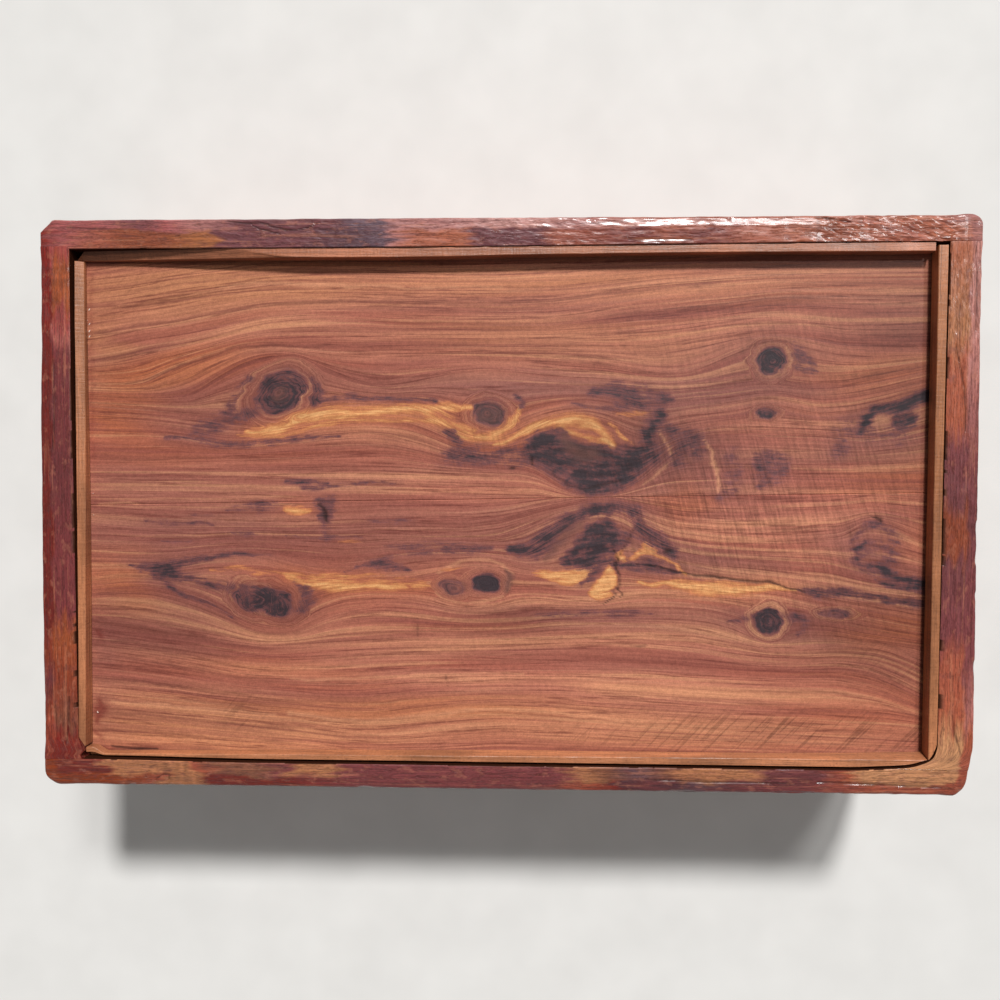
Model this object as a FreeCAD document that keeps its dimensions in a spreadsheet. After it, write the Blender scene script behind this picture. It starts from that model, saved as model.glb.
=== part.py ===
import FreeCAD
import Part
import Sketcher
import os

# A shallow cedar tool box that lies on its base with its sliding lid on top.
# +X points to the slot end, where the lid comes out, +Y to the back wall, +Z up.
# The origin is under the middle of the base. All sizes are in millimetres.

SIZES = (
    ("box_length", 381.0),
    ("box_depth", 234.0),
    ("box_height", 88.9),
    ("long_wall_thickness", 11.2),
    ("end_wall_thickness", 12.7),
    ("rim_round", 3.0),
    ("base_ease", 1.0),
    ("corner_cut_back_closed", 5.8),
    ("corner_round_back_slot", 4.2),
    ("corner_round_front_closed", 6.6),
    ("corner_round_front_slot", 5.6),
    ("lid_thickness", 6.35),
    ("lid_ride_gap", 0.3),
    ("lid_top_gap", 0.4),
    ("lid_side_gap", 0.7),
    ("lid_end_gap", 0.5),
    ("lid_end_inset", 0.5),
    ("lid_end_round", 1.2),
    ("lid_seam_at_closed_end", -0.2),
    ("lid_seam_at_slot_end", 6.2),
    ("lid_clip_back", 6.0),
    ("lid_clip_front", 4.0),
    ("recess_depth", 6.0),
    ("strip_drop", 0.8),
    ("strip_ease", 0.6),
    ("strip_joint_gap", 0.3),
    ("back_strip_width", 3.4),
    ("back_strip_low_height", 1.7),
    ("back_strip_taper_length", 98.0),
    ("back_strip_end_gap", 3.8),
    ("front_strip_width", 4.9),
    ("front_strip_narrow_width", 3.6),
    ("front_strip_low_height", 2.4),
    ("front_strip_end_gap", 5.2),
    ("slot_strip_width", 5.2),
    ("slot_strip_end_gap", 1.2),
    ("slot_strip_corner_round", 4.6),
    ("batten_width", 3.6),
    ("batten_low_height", 3.5),
    ("batten_height", 5.7),
    ("batten_back_gap", 1.6),
    ("batten_front_gap", 0.4),
    ("batten_mitre", 3.0),
    ("rail_cove_radius", 4.0),
    ("rail_toe_thickness", 0.5),
    ("runner_width", 6.35),
    ("runner_height", 6.35),
    ("floor_thickness", 6.35),
    ("floor_recess", 6.35),
    ("floor_expansion_gap", 0.4),
    ("groove_depth", 5.0),
    ("dowel_diameter", 6.35),
    ("dowel_anchor_length", 25.4),
    ("pin_diameter", 2.4),
    ("pin_height_in_rail", 2.4),
    ("pin_anchor_length", 14.0),
    ("peg_fit", 0.05),
    ("scoop_radius", 13.0),
    ("scoop_depth", 7.5),
    ("scoop_round", 4.0),
    ("cut_overrun", 2.0),
)

# The outer corners of the box, by their side in X and in Y, as they are sanded
CORNERS = {
    (-1, -1): ("Fillet", "sizes.corner_round_front_closed"),
    (1, -1): ("Fillet", "sizes.corner_round_front_slot"),
    (-1, 1): ("Chamfer", "sizes.corner_cut_back_closed"),
    (1, 1): ("Fillet", "sizes.corner_round_back_slot"),
}
# Where the three dowels of a corner sit, as shares of the height of the lid's ledge
DOWEL_HEIGHT_SHARES = (0.28, 0.55, 0.82)
FLOOR_BOARDS = ("floor_board_front", "floor_board_middle", "floor_board_back")

doc = FreeCAD.newDocument("sliding_lid_tool_box")
sheet = doc.addObject("Spreadsheet::Sheet", "sizes")
for row, (alias, number) in enumerate(SIZES, start=1):
    sheet.set(f"A{row}", alias)
    sheet.set(f"B{row}", str(number))
    sheet.setAlias(f"B{row}", alias)
doc.recompute()

# Places worked out from the driving sizes
OUTER_X = "(sizes.box_length / 2)"
OUTER_Y = "(sizes.box_depth / 2)"
INNER_X = f"({OUTER_X} - sizes.end_wall_thickness)"
INNER_Y = f"({OUTER_Y} - sizes.long_wall_thickness)"
STRIP_TOP = "(sizes.box_height - sizes.strip_drop)"
LID_TOP = f"({STRIP_TOP} - sizes.recess_depth)"
LID_BASE = f"({LID_TOP} - sizes.lid_thickness)"
LEDGE = f"({LID_BASE} - sizes.lid_ride_gap)"
STRIP_BASE = f"({LID_TOP} + sizes.lid_top_gap)"
STRIP_HEIGHT = f"({STRIP_TOP} - {STRIP_BASE})"
STRIP_END_X = f"({INNER_X} - sizes.slot_strip_width - sizes.strip_joint_gap)"
LID_HALF_DEPTH = f"({INNER_Y} - sizes.lid_side_gap)"
LID_CLOSED_X = f"(-{INNER_X} + sizes.lid_end_gap)"
LID_SLOT_X = f"({OUTER_X} - sizes.lid_end_inset)"
BACK_STRIP_Y = f"({INNER_Y} - sizes.back_strip_width)"
FRONT_STRIP_Y = f"(-{INNER_Y} + sizes.front_strip_width)"
FLOOR_TOP = "(sizes.floor_recess + sizes.floor_thickness)"
FLOOR_HALF_LENGTH = f"({INNER_X} + sizes.groove_depth - sizes.floor_expansion_gap)"
FLOOR_HALF_DEPTH = f"({INNER_Y} + sizes.groove_depth - sizes.floor_expansion_gap)"
DOWEL_X = f"({OUTER_X} - sizes.end_wall_thickness / 2)"
DOWEL_HOLE_RADIUS = "(sizes.dowel_diameter / 2 + sizes.peg_fit)"
PIN_HOLE_RADIUS = "(sizes.pin_diameter / 2 + sizes.peg_fit)"
RAIL_HEIGHT = f"(sizes.box_height - {STRIP_BASE})"
PIN_Z = f"({STRIP_BASE} + sizes.pin_height_in_rail)"

PLANE_ROLES = {"x": "YZ_Plane", "y": "XZ_Plane", "z": "XY_Plane"}
TOLERANCE = 1e-4
sub_parts = []
cuts = []


def value(expression):
    return float(sheet.evalExpression(expression))


def new_body(label, height="0"):
    """A body drawn on its own base, which its placement lifts to its seat."""
    body = doc.addObject("PartDesign::Body", label)
    body.Label = label
    body.setExpression("Placement.Base.z", height)
    sub_parts.append(body)
    return body


def new_sketch(body, name, axis, start):
    """An empty sketch square to an axis of the body, at a place along that axis."""
    role = PLANE_ROLES[axis]
    plane = next(item for item in body.Origin.OriginFeatures if item.Role == role)
    sketch = body.newObject("Sketcher::SketchObject", name)
    sketch.AttachmentSupport = (plane, [""])
    sketch.MapMode = "FlatFace"
    sketch.setExpression("AttachmentOffset.Base.z", f"-({start})" if axis == "y" else start)
    return sketch


def pin_point(sketch, geometry, point, place):
    """Ties one point of a sketch to its place, as distances from the sketch's origin."""
    for kind, expression in zip(("DistanceX", "DistanceY"), place):
        row = sketch.addConstraint(
            Sketcher.Constraint(kind, -1, 1, geometry, point, value(expression)))
        sketch.setExpression(f"Constraints[{row}]", expression)


def draw_outline(sketch, points):
    """A closed outline of straight lines through the points."""
    seeds = [FreeCAD.Vector(value(across), value(up), 0) for across, up in points]
    count = len(points)
    for index in range(count):
        line = Part.LineSegment(seeds[index], seeds[(index + 1) % count])
        sketch.addGeometry(line, False)
    for index in range(count):
        following = (index + 1) % count
        sketch.addConstraint(Sketcher.Constraint("Coincident", index, 2, following, 1))
        pin_point(sketch, index, 1, points[index])


def draw_circles(sketch, centres, radius):
    """Round outlines of one radius about the centres."""
    normal = FreeCAD.Vector(0, 0, 1)
    for index, centre in enumerate(centres):
        middle = FreeCAD.Vector(value(centre[0]), value(centre[1]), 0)
        sketch.addGeometry(Part.Circle(middle, normal, value(radius)), False)
        pin_point(sketch, index, 3, centre)
        row = sketch.addConstraint(Sketcher.Constraint("Radius", index, value(radius)))
        sketch.setExpression(f"Constraints[{row}]", radius)


def add_pad(body, name, axis, start, end, points):
    """A solid with the outline of the points, from start to end along the axis."""
    sketch = new_sketch(body, f"{name}_outline", axis, start)
    draw_outline(sketch, points)
    pad = body.newObject("PartDesign::Pad", name)
    pad.Profile = sketch
    pad.setExpression("Length", f"({end}) - ({start})")
    pad.Reversed = axis == "y"
    return pad


def add_pocket(body, name, axis, start, end, sketch):
    """A cut with the sketch's outline, from start to end along the axis."""
    pocket = body.newObject("PartDesign::Pocket", name)
    pocket.Profile = sketch
    pocket.setExpression("Length", f"({end}) - ({start})")
    pocket.Reversed = axis != "y"
    cuts.append(pocket)
    return pocket


def cut_outline(body, name, axis, start, end, points):
    sketch = new_sketch(body, f"{name}_outline", axis, start)
    draw_outline(sketch, points)
    return add_pocket(body, name, axis, start, end, sketch)


def cut_holes(body, name, axis, start, end, centres, radius):
    sketch = new_sketch(body, f"{name}_circles", axis, start)
    draw_circles(sketch, centres, radius)
    return add_pocket(body, name, axis, start, end, sketch)


def lies_at(edge, place):
    """Whether a whole edge lies at the given coordinates, such as {"z": "0"}."""
    first, last = edge.ParameterRange
    spots = [edge.valueAt(first), edge.valueAt((first + last) / 2), edge.valueAt(last)]
    return all(
        abs(getattr(spot, letter) - value(expression)) < TOLERANCE
        for letter, expression in place.items() for spot in spots)


def dress_edges(body, kind, name, size, places, spared=()):
    """A fillet or chamfer on the edges at any of the places, apart from those spared."""
    doc.recompute()
    base = body.Tip
    names = []
    for number, edge in enumerate(base.Shape.Edges, start=1):
        wanted = any(lies_at(edge, place) for place in places)
        if wanted and not any(lies_at(edge, place) for place in spared):
            names.append(f"Edge{number}")
    if not names:
        raise RuntimeError(f"{body.Label}: no edge found for {name}")
    feature = body.newObject(f"PartDesign::{kind}", name)
    feature.Base = (base, names)
    feature.setExpression("Radius" if kind == "Fillet" else "Size", size)
    return feature


def box_outline(low_across, high_across, low_up, high_up):
    return ((low_across, low_up), (high_across, low_up),
            (high_across, high_up), (low_across, high_up))


def dowel_centres(across):
    return [(across, f"{LEDGE} * {share}") for share in DOWEL_HEIGHT_SHARES]


def round_corners(body, y_side):
    """The sanded outer corners of the box on one long side: one is cut off, three are round."""
    for (x_side, corner_y), (kind, size) in CORNERS.items():
        if corner_y == y_side:
            name = f"{'slot' if x_side > 0 else 'closed'}_end_corner_{'back' if y_side > 0 else 'front'}"
            place = {"x": f"{x_side} * {OUTER_X}", "y": f"{y_side} * {OUTER_Y}"}
            dress_edges(body, kind, name, size, [place])


def sanded_outline():
    """The outer form of the whole box, which trims the pegs flush with the walls."""
    body = doc.addObject("PartDesign::Body", "sanded_outline")
    add_pad(body, "block", "z", "0", "sizes.box_height",
            box_outline(f"-{OUTER_X}", OUTER_X, f"-{OUTER_Y}", OUTER_Y))
    for y_side in (-1, 1):
        round_corners(body, y_side)
    dress_edges(body, "Fillet", "rim_round_over", "sizes.rim_round", [{"z": "sizes.box_height"}])
    return body


def long_wall(label, side):
    """A full-length wall: eased outer edges, a floor groove inside, peg holes at both ends."""
    body = new_body(label)
    inner = f"({side} * {INNER_Y})"
    outer = f"({side} * {OUTER_Y})"
    low, high = (inner, outer) if side > 0 else (outer, inner)
    add_pad(body, "board", "z", "0", "sizes.box_height",
            box_outline(f"-{OUTER_X}", OUTER_X, inner, outer))
    round_corners(body, side)
    dress_edges(body, "Fillet", "rim_round_over", "sizes.rim_round",
                [{"z": "sizes.box_height"}], spared=[{"y": inner}])
    dress_edges(body, "Chamfer", "base_edge", "sizes.base_ease",
                [{"z": "0"}], spared=[{"y": inner}])
    groove_end = f"({INNER_X} + sizes.groove_depth)"
    cut_outline(body, "floor_groove", "z", "sizes.floor_recess", FLOOR_TOP,
                box_outline(f"-{groove_end}", groove_end,
                            f"{side} * ({INNER_Y} - sizes.cut_overrun)",
                            f"{side} * ({INNER_Y} + sizes.groove_depth)"))
    centres = dowel_centres(f"-{DOWEL_X}") + dowel_centres(DOWEL_X)
    cut_holes(body, "dowel_holes", "y", low, high, centres, DOWEL_HOLE_RADIUS)
    cut_holes(body, "pin_hole", "y", low, high, [(DOWEL_X, PIN_Z)], PIN_HOLE_RADIUS)


def end_wall(label, side, height):
    """A wall between the long walls: a floor groove inside and blind dowel holes at its ends."""
    body = new_body(label)
    inner = f"({side} * {INNER_X})"
    outer = f"({side} * {OUTER_X})"
    add_pad(body, "board", "z", "0", height,
            box_outline(inner, outer, f"-{INNER_Y}", INNER_Y))
    cut_outline(body, "floor_groove", "z", "sizes.floor_recess", FLOOR_TOP,
                box_outline(f"{side} * ({INNER_X} - sizes.cut_overrun)",
                            f"{side} * ({INNER_X} + sizes.groove_depth)",
                            f"-{INNER_Y} - sizes.cut_overrun", f"{INNER_Y} + sizes.cut_overrun"))
    centres = dowel_centres(f"{side} * {DOWEL_X}")
    depth = "sizes.dowel_anchor_length"
    cut_holes(body, "front_dowel_holes", "y", f"-{INNER_Y}", f"-{INNER_Y} + {depth}",
              centres, DOWEL_HOLE_RADIUS)
    cut_holes(body, "back_dowel_holes", "y", f"{INNER_Y} - {depth}", INNER_Y,
              centres, DOWEL_HOLE_RADIUS)
    dress_edges(body, "Chamfer", "base_edge", "sizes.base_ease", [{"z": "0", "x": outer}])
    return body


def closed_end_wall():
    body = end_wall("closed_end_wall", -1, "sizes.box_height")
    dress_edges(body, "Fillet", "rim_round_over", "sizes.rim_round",
                [{"z": "sizes.box_height", "x": f"-{OUTER_X}"}])


def slot_end_wall():
    """It stops at the lid's ledge, with a finger scoop in its outer face under the lid."""
    body = end_wall("slot_end_wall", 1, LEDGE)
    back = f"{OUTER_X} - sizes.scoop_depth"
    cut_holes(body, "finger_scoop", "x", back, f"{OUTER_X} + sizes.cut_overrun",
              [("0", LEDGE)], "sizes.scoop_radius")
    dress_edges(body, "Fillet", "scoop_bottom", "sizes.scoop_round",
                [{"x": back}], spared=[{"z": LEDGE}])


def slot_end_rail():
    """The bridge over the slot, with a coved toe that rounds the rim's inner corner."""
    body = new_body("slot_end_rail", STRIP_BASE)
    toe_x = f"({INNER_X} - sizes.rail_cove_radius - sizes.rail_toe_thickness)"
    toe_y = f"(-{INNER_Y} + sizes.rail_toe_thickness)"
    outline = ((toe_x, f"-{INNER_Y}"), (OUTER_X, f"-{INNER_Y}"), (OUTER_X, INNER_Y),
               (INNER_X, INNER_Y), (INNER_X, toe_y), (toe_x, toe_y))
    add_pad(body, "rail", "z", "0", RAIL_HEIGHT, outline)
    dress_edges(body, "Fillet", "cove", "sizes.rail_cove_radius",
                [{"x": INNER_X, "y": toe_y}])
    centre = [(DOWEL_X, "sizes.pin_height_in_rail")]
    depth = "sizes.pin_anchor_length"
    cut_holes(body, "front_pin_hole", "y", f"-{INNER_Y}", f"-{INNER_Y} + {depth}",
              centre, PIN_HOLE_RADIUS)
    cut_holes(body, "back_pin_hole", "y", f"{INNER_Y} - {depth}", INNER_Y,
              centre, PIN_HOLE_RADIUS)
    dress_edges(body, "Fillet", "rim_round_over", "sizes.rim_round",
                [{"z": RAIL_HEIGHT, "x": OUTER_X}])


def back_lip_strip():
    """Full height for most of its length, then a long taper towards the closed end."""
    body = new_body("back_lip_strip", STRIP_BASE)
    closed_x = f"(-{INNER_X} + sizes.back_strip_end_gap)"
    outline = ((closed_x, "0"), (STRIP_END_X, "0"), (STRIP_END_X, STRIP_HEIGHT),
               (f"{closed_x} + sizes.back_strip_taper_length", STRIP_HEIGHT),
               (closed_x, "sizes.back_strip_low_height"))
    add_pad(body, "strip", "y", BACK_STRIP_Y, INNER_Y, outline)
    dress_edges(body, "Chamfer", "glue_line", "sizes.strip_ease",
                [{"z": STRIP_HEIGHT, "y": INNER_Y}])


def front_lip_strip():
    """A strip that grows wider and taller towards the slot end."""
    body = new_body("front_lip_strip", STRIP_BASE)
    closed_x = f"(-{INNER_X} + sizes.front_strip_end_gap)"
    wall_y = f"-{INNER_Y}"
    outline = ((closed_x, wall_y), (STRIP_END_X, wall_y), (STRIP_END_X, FRONT_STRIP_Y),
               (closed_x, f"{wall_y} + sizes.front_strip_narrow_width"))
    add_pad(body, "strip", "z", "0", STRIP_HEIGHT, outline)
    above = f"{STRIP_HEIGHT} + sizes.cut_overrun"
    before = f"{closed_x} - sizes.cut_overrun"
    slope = ((before, "sizes.front_strip_low_height"), (closed_x, "sizes.front_strip_low_height"),
             (STRIP_END_X, STRIP_HEIGHT), (STRIP_END_X, above), (before, above))
    cut_outline(body, "slope", "y", f"{wall_y} - sizes.cut_overrun",
                f"{FRONT_STRIP_Y} + sizes.cut_overrun", slope)


def slot_end_strip():
    """The stop that is glued to the rail, with a rounded corner inside the rail's cove."""
    body = new_body("slot_end_strip", STRIP_BASE)
    front_y = f"(-{INNER_Y} + sizes.slot_strip_end_gap)"
    inner_x = f"({INNER_X} - sizes.slot_strip_width)"
    add_pad(body, "strip", "z", "0", STRIP_HEIGHT,
            box_outline(inner_x, INNER_X, front_y, f"{INNER_Y} - sizes.slot_strip_end_gap"))
    dress_edges(body, "Fillet", "corner", "sizes.slot_strip_corner_round",
                [{"x": INNER_X, "y": front_y}])


def lid_runner(label, side):
    """A square strip glued inside a long wall, on which the lid rides."""
    body = new_body(label, f"{LEDGE} - sizes.runner_height")
    add_pad(body, "runner", "z", "0", "sizes.runner_height",
            box_outline(f"-{INNER_X}", INNER_X, f"{side} * ({INNER_Y} - sizes.runner_width)",
                        f"{side} * {INNER_Y}"))


def lid_board(label, side, clip):
    """One of two edge-glued boards that meet in a slightly slanted seam, with a clipped corner."""
    body = new_body(label, LID_BASE)
    edge_y = f"({side} * {LID_HALF_DEPTH})"
    outline = ((LID_CLOSED_X, "sizes.lid_seam_at_closed_end"),
               (LID_SLOT_X, "sizes.lid_seam_at_slot_end"),
               (LID_SLOT_X, edge_y), (LID_CLOSED_X, edge_y))
    add_pad(body, "board", "z", "0", "sizes.lid_thickness", outline)
    dress_edges(body, "Chamfer", "corner_clip", clip, [{"x": LID_CLOSED_X, "y": edge_y}])
    dress_edges(body, "Fillet", "leading_edge", "sizes.lid_end_round",
                [{"x": LID_SLOT_X, "z": "0"}, {"x": LID_SLOT_X, "z": "sizes.lid_thickness"}])


def lid_pull_batten():
    """The grip glued across the lid's closed end, low at the back and mitred at the front."""
    body = new_body("lid_pull_batten", LID_TOP)
    front_y = f"({FRONT_STRIP_Y} + sizes.batten_front_gap)"
    back_y = f"({BACK_STRIP_Y} - sizes.batten_back_gap)"
    inner_x = f"({LID_CLOSED_X} + sizes.batten_width)"
    outline = ((front_y, "0"), (back_y, "0"), (back_y, "sizes.batten_low_height"),
               (front_y, "sizes.batten_height"))
    add_pad(body, "batten", "x", LID_CLOSED_X, inner_x, outline)
    dress_edges(body, "Chamfer", "mitre", "sizes.batten_mitre", [{"x": inner_x, "y": front_y}])


def floor_board(label, index):
    """One of the edge-glued boards held in the groove of the four walls."""
    body = new_body(label, "sizes.floor_recess")
    board_width = f"(2 * {FLOOR_HALF_DEPTH} / {len(FLOOR_BOARDS)})"
    add_pad(body, "board", "z", "0", "sizes.floor_thickness",
            box_outline(f"-{FLOOR_HALF_LENGTH}", FLOOR_HALF_LENGTH,
                        f"-{FLOOR_HALF_DEPTH} + {index} * {board_width}",
                        f"-{FLOOR_HALF_DEPTH} + {index + 1} * {board_width}"))


def peg_group(label, side, across, heights, diameter, anchor):
    """Round pegs driven through a long wall into the end of what it holds, cut off flush."""
    pegs = []
    for number, height in enumerate(heights, start=1):
        peg = doc.addObject("Part::Cylinder", f"{label}_{number}")
        peg.setExpression("Radius", f"{diameter} / 2")
        peg.setExpression("Height", f"sizes.long_wall_thickness + {anchor}")
        # The cylinder points inwards, from the outer face of its wall.
        peg.Placement.Rotation = FreeCAD.Rotation(FreeCAD.Vector(1, 0, 0), 90 * side)
        peg.setExpression("Placement.Base.x", across)
        peg.setExpression("Placement.Base.y", f"{side} * {OUTER_Y}")
        peg.setExpression("Placement.Base.z", height)
        pegs.append(peg)
    driven = doc.addObject("Part::Compound", f"{label}_as_driven")
    driven.Links = pegs
    trimmed = doc.addObject("Part::Common", label)
    trimmed.Label = label
    trimmed.Base = driven
    trimmed.Tool = outline_body
    sub_parts.append(trimmed)


outline_body = sanded_outline()
long_wall("front_wall", -1)
long_wall("back_wall", 1)
closed_end_wall()
slot_end_wall()
slot_end_rail()
back_lip_strip()
front_lip_strip()
slot_end_strip()
lid_runner("front_lid_runner", -1)
lid_runner("back_lid_runner", 1)
lid_board("lid_board_front", -1, "sizes.lid_clip_front")
lid_board("lid_board_back", 1, "sizes.lid_clip_back")
lid_pull_batten()
for order, floor_label in enumerate(FLOOR_BOARDS):
    floor_board(floor_label, order)
dowel_heights = [f"{LEDGE} * {share}" for share in DOWEL_HEIGHT_SHARES]
for wall_name, wall_side in (("front", -1), ("back", 1)):
    for end_name, end_x in (("closed_end", f"-{DOWEL_X}"), ("slot_end", DOWEL_X)):
        peg_group(f"{end_name}_dowels_{wall_name}", wall_side, end_x, dowel_heights,
                  "sizes.dowel_diameter", "sizes.dowel_anchor_length")
    peg_group(f"rail_pin_{wall_name}", wall_side, DOWEL_X, [PIN_Z],
              "sizes.pin_diameter", "sizes.pin_anchor_length")

doc.recompute()

for item in doc.Objects:
    if "Invalid" in item.State or "Error" in item.State:
        raise RuntimeError(f"{item.Name} failed: {item.State}")
for cut in cuts:
    if cut.BaseFeature.Shape.Volume - cut.Shape.Volume < TOLERANCE:
        raise RuntimeError(f"{cut.Name} removes nothing")

os.makedirs("parts", exist_ok=True)
for sub_part in sub_parts:
    if sub_part.Shape.isNull() or not sub_part.Shape.isValid():
        raise RuntimeError(f"{sub_part.Label} has no valid shape")
for sub_part in sub_parts:
    sub_part.Shape.exportStep(f"parts/{sub_part.Label}.step")
print(len(sub_parts), "sub-parts written")
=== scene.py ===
import math

import bmesh
import bpy
import numpy as np
from mathutils import Matrix, Vector


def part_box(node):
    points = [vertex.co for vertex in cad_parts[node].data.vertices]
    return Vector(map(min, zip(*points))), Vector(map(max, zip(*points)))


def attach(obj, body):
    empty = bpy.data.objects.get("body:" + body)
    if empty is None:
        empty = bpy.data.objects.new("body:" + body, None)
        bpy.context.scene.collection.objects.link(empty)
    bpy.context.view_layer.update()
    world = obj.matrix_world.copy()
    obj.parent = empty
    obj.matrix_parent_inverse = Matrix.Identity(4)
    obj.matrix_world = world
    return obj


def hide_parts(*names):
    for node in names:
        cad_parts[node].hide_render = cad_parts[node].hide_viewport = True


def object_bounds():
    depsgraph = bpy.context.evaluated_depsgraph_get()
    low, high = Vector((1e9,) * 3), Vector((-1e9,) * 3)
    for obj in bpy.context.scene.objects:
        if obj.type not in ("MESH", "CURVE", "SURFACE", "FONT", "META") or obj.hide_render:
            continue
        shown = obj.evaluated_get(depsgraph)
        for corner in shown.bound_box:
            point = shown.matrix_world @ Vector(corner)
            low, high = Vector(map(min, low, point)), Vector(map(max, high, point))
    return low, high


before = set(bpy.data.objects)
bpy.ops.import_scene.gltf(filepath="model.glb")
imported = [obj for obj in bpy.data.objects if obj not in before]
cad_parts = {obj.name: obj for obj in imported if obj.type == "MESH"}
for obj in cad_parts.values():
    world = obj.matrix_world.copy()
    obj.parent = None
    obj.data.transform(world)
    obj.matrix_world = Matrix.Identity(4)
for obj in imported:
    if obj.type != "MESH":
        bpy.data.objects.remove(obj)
cad_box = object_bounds()

# Lengths below are in millimetres, in the part's own frame: +X to the slot end, +Y to the back
# wall, +Z up through the lid. The meshes are made in metres.
MM = 0.001
BOX_LOW, BOX_HIGH = (np.array(corner) / MM for corner in cad_box)
RIM_TOP = BOX_HIGH[2]


def node_box(name):
    """Lowest and highest corner of a CAD node, in millimetres."""
    low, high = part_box(name)
    return np.array(low) / MM, np.array(high) / MM


# Helpers: colour, noise and masks

def rgb(red, green, blue):
    """A colour as the eye sees it, from 0 to 255, as the linear values that shaders take."""
    linear = [((c / 255 + 0.055) / 1.055) ** 2.4 if c > 10 else c / 255 / 12.92
              for c in (red, green, blue)]
    return (*linear, 1.0)


def times_rgb(share, colour):
    """A colour made darker or lighter by one share, as linear values."""
    return rgb(*(min(255, share * c) for c in colour))


def smooth(value, low, high):
    """0 below low, 1 above high, and a smooth step between them."""
    share = np.clip((value - low) / (high - low), 0, 1)
    return share * share * (3 - 2 * share)


def band(value, low, full_low, full_high, high):
    """1 from full_low to full_high, and 0 below low and above high."""
    return smooth(value, low, full_low) * (1 - smooth(value, full_high, high))


def ripple(x, y, size_x, size_y, seed):
    """Smooth noise from -1 to 1, with features of the given sizes."""
    lattice = np.random.default_rng(seed).uniform(-1, 1, (256, 256))
    across, up = np.asarray(x) / size_x, np.asarray(y) / size_y
    column, row = np.floor(across).astype(int), np.floor(up).astype(int)
    a, b = across - column, up - row
    a, b = a * a * (3 - 2 * a), b * b * (3 - 2 * b)
    left, right = column % 256, (column + 1) % 256
    low, high = row % 256, (row + 1) % 256
    lower = lattice[left, low] * (1 - a) + lattice[right, low] * a
    upper = lattice[left, high] * (1 - a) + lattice[right, high] * a
    return lower * (1 - b) + upper * b


def ripples(x, y, layers, seed=0):
    """Layers of ripple added up, each given by its depth, two sizes and a number for its seed."""
    return sum(deep * ripple(x, y, size_x, size_y, seed + more) for deep, size_x, size_y, more in layers)


def curve_through(points, closed=False, steps=8):
    """A smooth line through the points (Catmull and Rom's), whatever number of columns they have."""
    p = np.array(points, float)
    if closed:
        p = np.vstack([p[-1], p, p[0], p[1]])
    else:
        p = np.vstack([2 * p[0] - p[1], p, 2 * p[-1] - p[-2]])
    t = np.linspace(0, 1, steps, endpoint=False)[:, None]
    parts = []
    for a, b, c, d in zip(p, p[1:], p[2:], p[3:]):
        parts.append(0.5 * (2 * b + (c - a) * t + (2 * a - 5 * b + 4 * c - d) * t ** 2
                            + (3 * b - a - 3 * c + d) * t ** 3))
    line = np.vstack(parts)
    return line if closed else np.vstack([line, p[-2]])


def stroke(x, y, points):
    """A soft line: 1 along it, half at each point's third number, its half width, and 0 far off."""
    line = curve_through(points) if len(points) > 2 else np.array(points, float)
    reach = 2.6 * line[:, 2].max()
    near = ((x > line[:, 0].min() - reach) & (x < line[:, 0].max() + reach)
            & (y > line[:, 1].min() - reach) & (y < line[:, 1].max() + reach))
    px, py = x[near], y[near]
    best = np.full(px.shape, 9.0)
    for (ax, ay, aw), (bx, by, bw) in zip(line, line[1:]):
        length = max((bx - ax) ** 2 + (by - ay) ** 2, 1e-9)
        t = np.clip(((px - ax) * (bx - ax) + (py - ay) * (by - ay)) / length, 0, 1)
        distance = np.hypot(px - ax - t * (bx - ax), py - ay - t * (by - ay))
        best = np.minimum(best, distance / np.maximum(aw + t * (bw - aw), 0.15))
    mask = np.zeros(x.shape)
    mask[near] = np.exp(-0.7 * best ** 2)
    return mask


def patch(x, y, outline, soft=1.2):
    """1 inside a smooth closed outline, 0 outside it, with a soft edge in millimetres."""
    line = curve_through(outline, closed=True, steps=5)
    near = ((x > line[:, 0].min() - soft) & (x < line[:, 0].max() + soft)
            & (y > line[:, 1].min() - soft) & (y < line[:, 1].max() + soft))
    px, py = x[near], y[near]
    inside = np.zeros(px.shape, bool)
    best = np.full(px.shape, 1e9)
    for (ax, ay), (bx, by) in zip(line, np.roll(line, -1, axis=0)):
        crosses = (ay > py) != (by > py)
        at = ax + (py - ay) * (bx - ax) / (by - ay if by != ay else 1e-9)
        inside ^= crosses & (px < at)
        length = max((bx - ax) ** 2 + (by - ay) ** 2, 1e-9)
        t = np.clip(((px - ax) * (bx - ax) + (py - ay) * (by - ay)) / length, 0, 1)
        best = np.minimum(best, np.hypot(px - ax - t * (bx - ax), py - ay - t * (by - ay)))
    depth = np.where(inside, best, -best)
    mask = np.zeros(x.shape)
    mask[near] = smooth(depth, -soft, soft)
    return mask


def oval_reach(x, y, at, half_size, turn=0.0):
    """How far out a place lies, in shares of an oval's half sizes: 1 on its edge."""
    a = math.radians(turn)
    dx, dy = x - at[0], y - at[1]
    return np.hypot((dx * math.cos(a) + dy * math.sin(a)) / half_size[0],
                    (dy * math.cos(a) - dx * math.sin(a)) / half_size[1])


def oval(x, y, at, half_size, turn=0.0, soft=0.5):
    return 1 - smooth(oval_reach(x, y, at, half_size, turn), 1 - soft, 1 + soft)


# Helpers: meshes

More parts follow.
